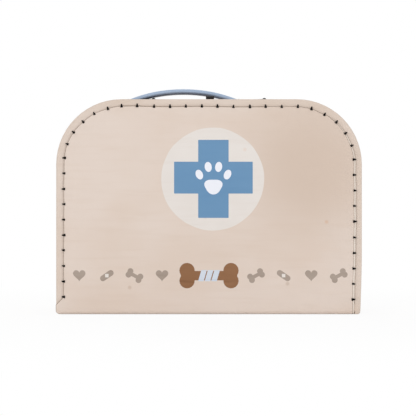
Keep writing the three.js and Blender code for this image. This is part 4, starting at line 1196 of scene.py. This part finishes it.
wire = {"radius": 1.1, "width": 18.6, "corner": 2.5, "cornerSteps": 8, "sides": 14}
handleShade = {"low": -0.2, "under": -0.75}  # from which downward slope each tone of painted shade shows
metalEdge = {
    "handle_bracket_left": 0.18, "handle_bracket_right": 0.18, "clasp_plate": 0.18, "clasp_pin": 0.15,
    "clasp_hasp": 0.18, "catch_plate": 0.18,
}
rivets = ((("bracket",), 4), (("clasp", "catch"), 2))  # where, and how many at each
metalBody = {"clasp_hasp": "hasp", "catch_plate": "lid", "catch_rivet_1": "lid", "catch_rivet_2": "lid"}


# A rounded wire rectangle from one eye's axis to the other's
def ringMesh(name, near, far):
    length, half, corner = (far - near).length / mm, wire["width"] / 2, wire["corner"]
    along, level = (far - near).normalized(), Vector((0, 1, 0))
    up = level.cross(along)
    bm = bmesh.new()
    rings = []
    for x, y, start in ((corner, half - corner, 180), (length - corner, half - corner, 90),
                        (length - corner, corner - half, 0), (corner, corner - half, -90)):
        for i in range(wire["cornerSteps"] + 1):
            turn = math.radians(start - 90 * i / wire["cornerSteps"])
            out = along * math.cos(turn) + level * math.sin(turn)
            middle = along * x + level * y + out * corner
            rings.append([
                bm.verts.new(near + (middle + (out * math.cos(a) + up * math.sin(a)) * wire["radius"]) * mm)
                for a in roundTurns(wire["sides"])])
    joinRings(bm, rings, closed=True)
    return meshOf(bm, name, ["wire"], angle=180)


# Each ring hangs from its bracket's eye, a little down to the bow's
def addRings():
    reach = wire["radius"] * mm
    for side in ("left", "right"):
        node = "handle_ring_" + side
        low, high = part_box(node)
        near = Vector((high.x - reach, (low.y + high.y) / 2, high.z - reach))
        far = Vector((low.x + reach, near.y, low.z + reach))
        newPiece(node + "_wire", ringMesh(node, near, far), "ring_" + side, [node])


# Darker tones of blue on the handle's downward faces: painted shade
def paintHandleShade(face):
    if face.normal.z < handleShade["under"]:
        return "handleUnderPaintedShade"
    return "handleLowPaintedShade" if face.normal.z < handleShade["low"] else "handleBlue"


def addMetalwork():
    # The handle's lower faces and underside take painted shade
    finish = ["handleBlue", "handleLowPaintedShade", "handleUnderPaintedShade"]
    dressed("handle", finish, "handle", choose=paintHandleShade)
    addRings()
    plain = [f"{place}_rivet_{i + 1}" for places, count in rivets for i in range(count) for place in places]
    for node in [*metalEdge, *plain]:
        body, edge = metalBody.get(node, "root"), metalEdge.get(node, 0)
        dressed(node, ["blackSteel", "blackWorn"], body, edge=edge)
    print("handle and clasp finished")


# Thin shapes that lie on the round instruments, such as labels, painted bands and scales


# A point round an axis along X; turn 0 faces -Y and a quarter turn faces up
def alongX(x, turn, radius, middle):
    return Vector((x, middle.y - radius * math.cos(turn), middle.z + radius * math.sin(turn)))


# A point round an upright axis; turn 0 faces -Y and a quarter turn faces +X
def alongZ(z, turn, radius, middle):
    return Vector((middle.x + radius * math.sin(turn), middle.y - radius * math.cos(turn), z))


# A thin curved plate on a round body, from low to high and from start to end in degrees
def addPlate(bm, around, middle, radius, low, high, start=0, end=360, thick=0.12, sunk=0.06, steps=12):
    closed = end - start >= 360
    corners = ((low, radius - sunk), (high, radius - sunk), (high, radius + thick), (low, radius + thick))
    rings = []
    for i in range(steps if closed else steps + 1):
        turn = math.radians(start + (end - start) * i / steps)
        rings.append([bm.verts.new(around(place, turn, reach, middle) * mm) for place, reach in corners])
    joinRings(bm, rings, closed)


def platePiece(name, finish, around, middle, plates):
    bm = bmesh.new()
    for plate in plates:
        addPlate(bm, around, middle, **plate)
    return newPiece(name, meshOf(bm, name, [finish], solid["smoothCurved"]), "root")


# A plate round the origin, which a tree repeats
def plateTemplate(around, **plate):
    bm = bmesh.new()
    addPlate(bm, around, Vector((0, 0, 0)), **plate)
    return newObject("template", meshOf(bm, "template"))


# Marks at even steps along a line, a long one at each so many
def scaleTree():
    tree, given, out = newTree("Geometry", "scaleMarks", {
        "Geometry": ("Geometry", None), "Short": ("Object", None), "Long": ("Object", None),
        "Count": ("Int", 11), "Every": ("Int", 5), "Step": ("Vector", (0.005, 0, 0)),
        "Ink": ("Material", None),
    }, {"Geometry": "Geometry"})
    inputs = {"Count": given["Count"], "Offset": given["Step"]}
    line = addNode(tree, "GeometryNodeMeshLine", inputs).outputs[0]
    index = addNode(tree, "GeometryNodeInputIndex").outputs[0]
    isLong = maths(tree, "LESS_THAN", maths(tree, "MODULO", index, given["Every"]), 0.5)
    joined = addNode(tree, "GeometryNodeJoinGeometry")
    for name, chosen in (("Short", maths(tree, "SUBTRACT", 1.0, isLong)), ("Long", isLong)):
        feed(tree, joined.inputs[0], repeated(tree, line, given[name], Selection=chosen))
    return endTree(tree, out, joined.outputs[0], given["Ink"])


# A rib repeated round an upright axis
def ribTree():
    tree, given, out = newTree("Geometry", "ribsRound", {
        "Geometry": ("Geometry", None), "Rib": ("Object", None), "Count": ("Int", 36),
        "Plastic": ("Material", None),
    }, {"Geometry": "Geometry"})
    inputs = {"Count": given["Count"], "Offset": (0.0, 0.0, 0.0)}
    points = addNode(tree, "GeometryNodeMeshLine", inputs).outputs[0]
    index = addNode(tree, "GeometryNodeInputIndex").outputs[0]
    turn = times(tree, maths(tree, "DIVIDE", index, given["Count"]), 2 * math.pi)
    spin = addNode(tree, "ShaderNodeCombineXYZ", {2: turn}).outputs[0]
    return endTree(tree, out, repeated(tree, points, given["Rib"], Rotation=spin), given["Plastic"])


def grownPlates(name, tree, templates, values, start):
    holder = bpy.data.meshes.new(name + "_holder")
    grownPiece(name, holder, tree, {**templates, **values}, "root", Vector(start) * mm)
    for template in templates.values():
        bpy.data.objects.remove(template)


# A printed scale along X; the spans are where its short and its long marks start and end, in degrees
def addScale(name, tree, scale, radius, spans, start):
    size = dict(radius=radius, low=0, high=scale["line"], thick=scale["ink"], steps=scale["markSteps"])
    templates = {label: plateTemplate(alongX, start=span[0], end=span[1], **size)
                 for label, span in zip(("Short", "Long"), spans)}
    values = {"Count": scale["count"], "Every": scale["every"], "Step": (scale["step"] * mm, 0, 0),
              "Ink": materials["inkBlue"]}
    grownPlates(name, tree, templates, values, start)


def middleOf(node):
    low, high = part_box(node)
    return (low + high) / 2 / mm, low / mm, high / mm


# Syringe: its scale, printed on the side that faces out of the case

syringe = {
    "radius": 12.0, "tilt": 12, "first": 34.0, "step": 5.0, "count": 11, "every": 5, "short": 13, "long": 24,
    "line": 0.7, "ink": 0.08, "markSteps": 12, "edge": 0.6,
}


def addSyringe(scales):
    edge = syringe["edge"]
    dressed("syringe_barrel", ["whitePlastic"], edge=edge, segments=3)
    dressed("syringe_plunger", ["bluePlastic"], "plunger", edge=edge, segments=3)
    middle, low, _ = middleOf("syringe_barrel")
    spans = [(syringe["tilt"] - half, syringe["tilt"] + half) for half in (syringe["short"], syringe["long"])]
    start = (low.x + syringe["first"], middle.y, middle.z)
    addScale("syringe_scale", scales, syringe, syringe["radius"], spans, start)


# Thermometer: a pale window with a column and a scale

thermometer = {
    "radius": 7.0, "thick": 0.1, "windowStart": 30.0, "windowLength": 62.0, "windowTurn": 34,
    "column": 0.9, "columnStart": 4.0, "columnEnd": 0.62, "bulb": 1.7, "bulbEnds": (2.6, 5.6),
    "first": 7.0, "step": 3.0, "count": 18, "every": 6, "aside": 6, "short": 9, "long": 16,
    "line": 0.45, "ink": 0.08, "markSteps": 6, "windowSteps": 16, "columnSteps": 6,
}


def addThermometer(scales):
    dressed("thermometer", ["beechAlongX"])
    middle, low, _ = middleOf("thermometer")
    form = thermometer
    radius, start, turn = form["radius"], low.x + form["windowStart"], form["windowTurn"]
    window = dict(radius=radius, low=start, high=start + form["windowLength"], start=-turn, end=turn,
                  thick=form["thick"], steps=form["windowSteps"])
    platePiece("thermometer_window", "whitePlastic", alongX, middle, [window])
    halfColumn = math.degrees(form["column"] / 2 / radius)
    halfBulb = math.degrees(form["bulb"] / radius)
    above = dict(radius=radius + form["thick"], thick=form["thick"], steps=form["columnSteps"])
    foot = start + form["columnStart"]
    bulbLow, bulbHigh = form["bulbEnds"]
    plates = [dict(low=foot, high=foot + form["windowLength"] * form["columnEnd"], start=-halfColumn,
                   end=halfColumn, **above),
              dict(low=start + bulbLow, high=start + bulbHigh, start=-halfBulb, end=halfBulb, **above)]
    platePiece("thermometer_column", "inkBlue", alongX, middle, plates)
    side = halfColumn + form["aside"]
    spans = [(side, side + reach) for reach in (form["short"], form["long"])]
    place = (start + form["first"], middle.y, middle.z)
    addScale("thermometer_scale", scales, form, radius + form["thick"], spans, place)


# Medicine bottle: a paper label with a plain cross, and a ribbed cap

bottle = {
    "radius": 18.0, "paper": 0.12, "ink": 0.06, "labelLow": 8.0, "labelHigh": 37.0, "labelTurn": 62,
    "cross": 7.0, "arm": 2.2, "crossRise": 2.5, "lines": ((1.6, 3.2), (26.6, 27.4)), "margin": 4,
    "labelSteps": 28, "printSteps": 20, "edge": 0.5,
}
cap = {
    "rim": 0.5, "drawnIn": 0.4, "ribs": 40, "ribLow": 1.0, "ribHigh": 12.4, "ribTurn": 2.2, "ribThick": 0.36,
    "ribSunk": 0.3, "ribSteps": 3, "edge": 0.4,
}


def addBottle():
    dressed("medicine_bottle", ["whitePlastic"], edge=bottle["edge"], segments=3)
    middle, low, _ = middleOf("medicine_bottle")
    radius, turn, cross, arm = bottle["radius"], bottle["labelTurn"], bottle["cross"], bottle["arm"]
    bottom, top = low.z + bottle["labelLow"], low.z + bottle["labelHigh"]
    paper = dict(radius=radius, low=bottom, high=top, start=-turn, end=turn, thick=bottle["paper"],
                 steps=bottle["labelSteps"])
    platePiece("bottle_label", "label", alongZ, middle, [paper])
    level = (bottom + top) / 2 + bottle["crossRise"]
    areas = [(level - arm, level + arm, math.degrees(cross / radius)),
             (level - cross, level + cross, math.degrees(arm / radius))]
    areas += [(bottom + start, bottom + end, turn - bottle["margin"]) for start, end in bottle["lines"]]
    ink = dict(radius=radius + bottle["paper"], thick=bottle["ink"], steps=bottle["printSteps"])
    plates = [dict(low=start, high=end, start=-half, end=half, **ink) for start, end, half in areas]
    platePiece("bottle_print", "inkBlue", alongZ, middle, plates)


# The cap's wall is drawn in under its ribs
def addCap():
    piece = dressed("medicine_cap", ["bluePlastic"], edge=cap["edge"])
    middle, low, high = middleOf("medicine_cap")
    radius = (high.x - low.x) / 2
    wall = radius - cap["drawnIn"]
    for vertex in piece.data.vertices:
        away = vertex.co.xy / mm - middle.xy
        if away.length > radius - cap["rim"]:
            vertex.co.xy = (middle.xy + away * wall / away.length) * mm
    rib = plateTemplate(alongZ, radius=wall, low=cap["ribLow"], high=cap["ribHigh"], start=-cap["ribTurn"],
                        end=cap["ribTurn"], thick=cap["ribThick"], sunk=cap["ribSunk"],
                        steps=cap["ribSteps"])
    values = {"Count": cap["ribs"], "Plastic": materials["bluePlastic"]}
    grownPlates("cap_ribs", ribTree(), {"Rib": rib}, values, (middle.x, middle.y, low.z))


# Wooden handles with painted bands, the rubber hammer head and the otoscope's lens

painted = {"thick": 0.1, "steps": 40}
paintedBands = {  # radius, and where each band starts and ends along the handle
    "hammer": ("hammer_handle", alongX, 6.5, ((33, 37), (38.5, 39.5))),
    "otoscope": ("otoscope_grip", alongZ, 10.0, ((66, 70), (63.5, 64.5))),
}
lens = dict(radius=8.2, thick=0.6, sunk=8.0, steps=40)
lensEnds = (-0.5, 0.2)
toolEdges = {"hammer": 0.4, "otoscope": 0.6}


def addHandTools():
    dressed("hammer_handle", ["beechAlongX"])
    dressed("hammer_head", ["blueRubber"], edge=toolEdges["hammer"], segments=3)
    dressed("otoscope_grip", ["beechAlongZ"])
    dressed("otoscope_head", ["bluePlastic"], edge=toolEdges["otoscope"], segments=3)
    for tool, (node, around, radius, ends) in paintedBands.items():
        middle, low, _ = middleOf(node)
        foot = low.x if around is alongX else low.z
        plates = [dict(radius=radius, low=foot + start, high=foot + end, **painted) for start, end in ends]
        platePiece(tool + "_band", "handleBlue", around, middle, plates)
    middle, low, _ = middleOf("otoscope_head")
    start, end = lensEnds
    plates = [dict(low=low.x + start, high=low.x + end, **lens)]
    platePiece("otoscope_lens", "inkBlue", alongX, middle, plates)


# Bandage: one long strip wound on itself

bandage = {
    "core": 6.3, "pitch": 0.82, "thickness": 0.6, "turnSteps": 44, "acrossSteps": 12, "clearance": 0.15,
    "inset": 0.5, "tail": 0.9, "tailTurn": 0.07, "tailLeast": 0.5, "endAt": 62,
    "stray": 0.35, "strayScale": (1.9, 0.35), "straySeed": 7.7,  # how far a turn strays sideways
    "crepe": 0.05, "crepeScale": (0.35, 0.5), "crepeSeed": 2.0,  # the unevenness of the cloth itself
}


def addBandage():
    middle, low, high = middleOf("bandage_roll")
    pitch, thick, steps = bandage["pitch"], bandage["thickness"], bandage["turnSteps"]
    outer = (high.z - low.z) / 2 - bandage["clearance"]
    count = round((outer - thick - bandage["core"]) / pitch * steps)
    left, width = low.x + bandage["inset"], high.x - low.x - 2 * bandage["inset"]
    finish, least = math.radians(bandage["endAt"]), bandage["tailLeast"]
    (strayRadius, strayTurn), (crepeAcross, crepeAlong) = bandage["strayScale"], bandage["crepeScale"]
    bm = bmesh.new()
    layer = bm.loops.layers.uv.new("UVMap")
    length, rings, laid = 0.0, [], {}
    for i in range(count + 1):
        turn = 2 * math.pi * (i - count) / steps
        radius = bandage["core"] + pitch * i / steps
        tail = bandage["tail"] * max(0.0, 1 - (count - i) / steps / bandage["tailTurn"]) ** 2
        place = Vector((strayRadius * radius, strayTurn * math.sin(turn), bandage["straySeed"]))
        shift = bandage["stray"] * noise.noise(place)
        lines = ([], [])
        for k in range(bandage["acrossSteps"] + 1):
            share = k / bandage["acrossSteps"]
            x = left + width * share + shift
            place = Vector((x * crepeAcross, length * crepeAlong, bandage["crepeSeed"]))
            lift = bandage["crepe"] * noise.noise(place) + tail * (least + share * (1 - least))
            for line, rise in zip(lines, (0, thick)):
                vert = bm.verts.new(alongX(x, finish + turn, radius + rise + lift, middle) * mm)
                laid[vert] = Vector((length, share * width, rise)) * mm
                line.append(vert)
        rings.append(lines[1] + lines[0][::-1])
        length += (radius + thick / 2) * 2 * math.pi / steps
    joinRings(bm, rings, flat=True)
    for face in bm.faces:
        isEdge = len({laid[vert].y for vert in face.verts}) == 1
        for loop in face.loops:
            along, across, rise = laid[loop.vert]
            loop[layer].uv = (along, across + rise * isEdge)
    piece = newPiece("bandage_strip", meshOf(bm, "bandage", ["gauze"]), "root", ["bandage_roll"])


# The card insert and all that lies in it

tray = {"edge": 0.2}


def addInstruments():
    dressed("insert_tray", ["insertCard", "cutEdgeAndPaintedShade"], edge=tray["edge"])
    scales = scaleTree()
    addSyringe(scales)
    addThermometer(scales)
    addBottle()
    addCap()
    addHandTools()
    addBandage()
    print("instruments finished")


addCamera()
makeMaterials()
addStage()
addWorld()
addLights()
addSheets()
addBands()
addStitches()
addHingeCloth()
addMetalwork()
addInstruments()
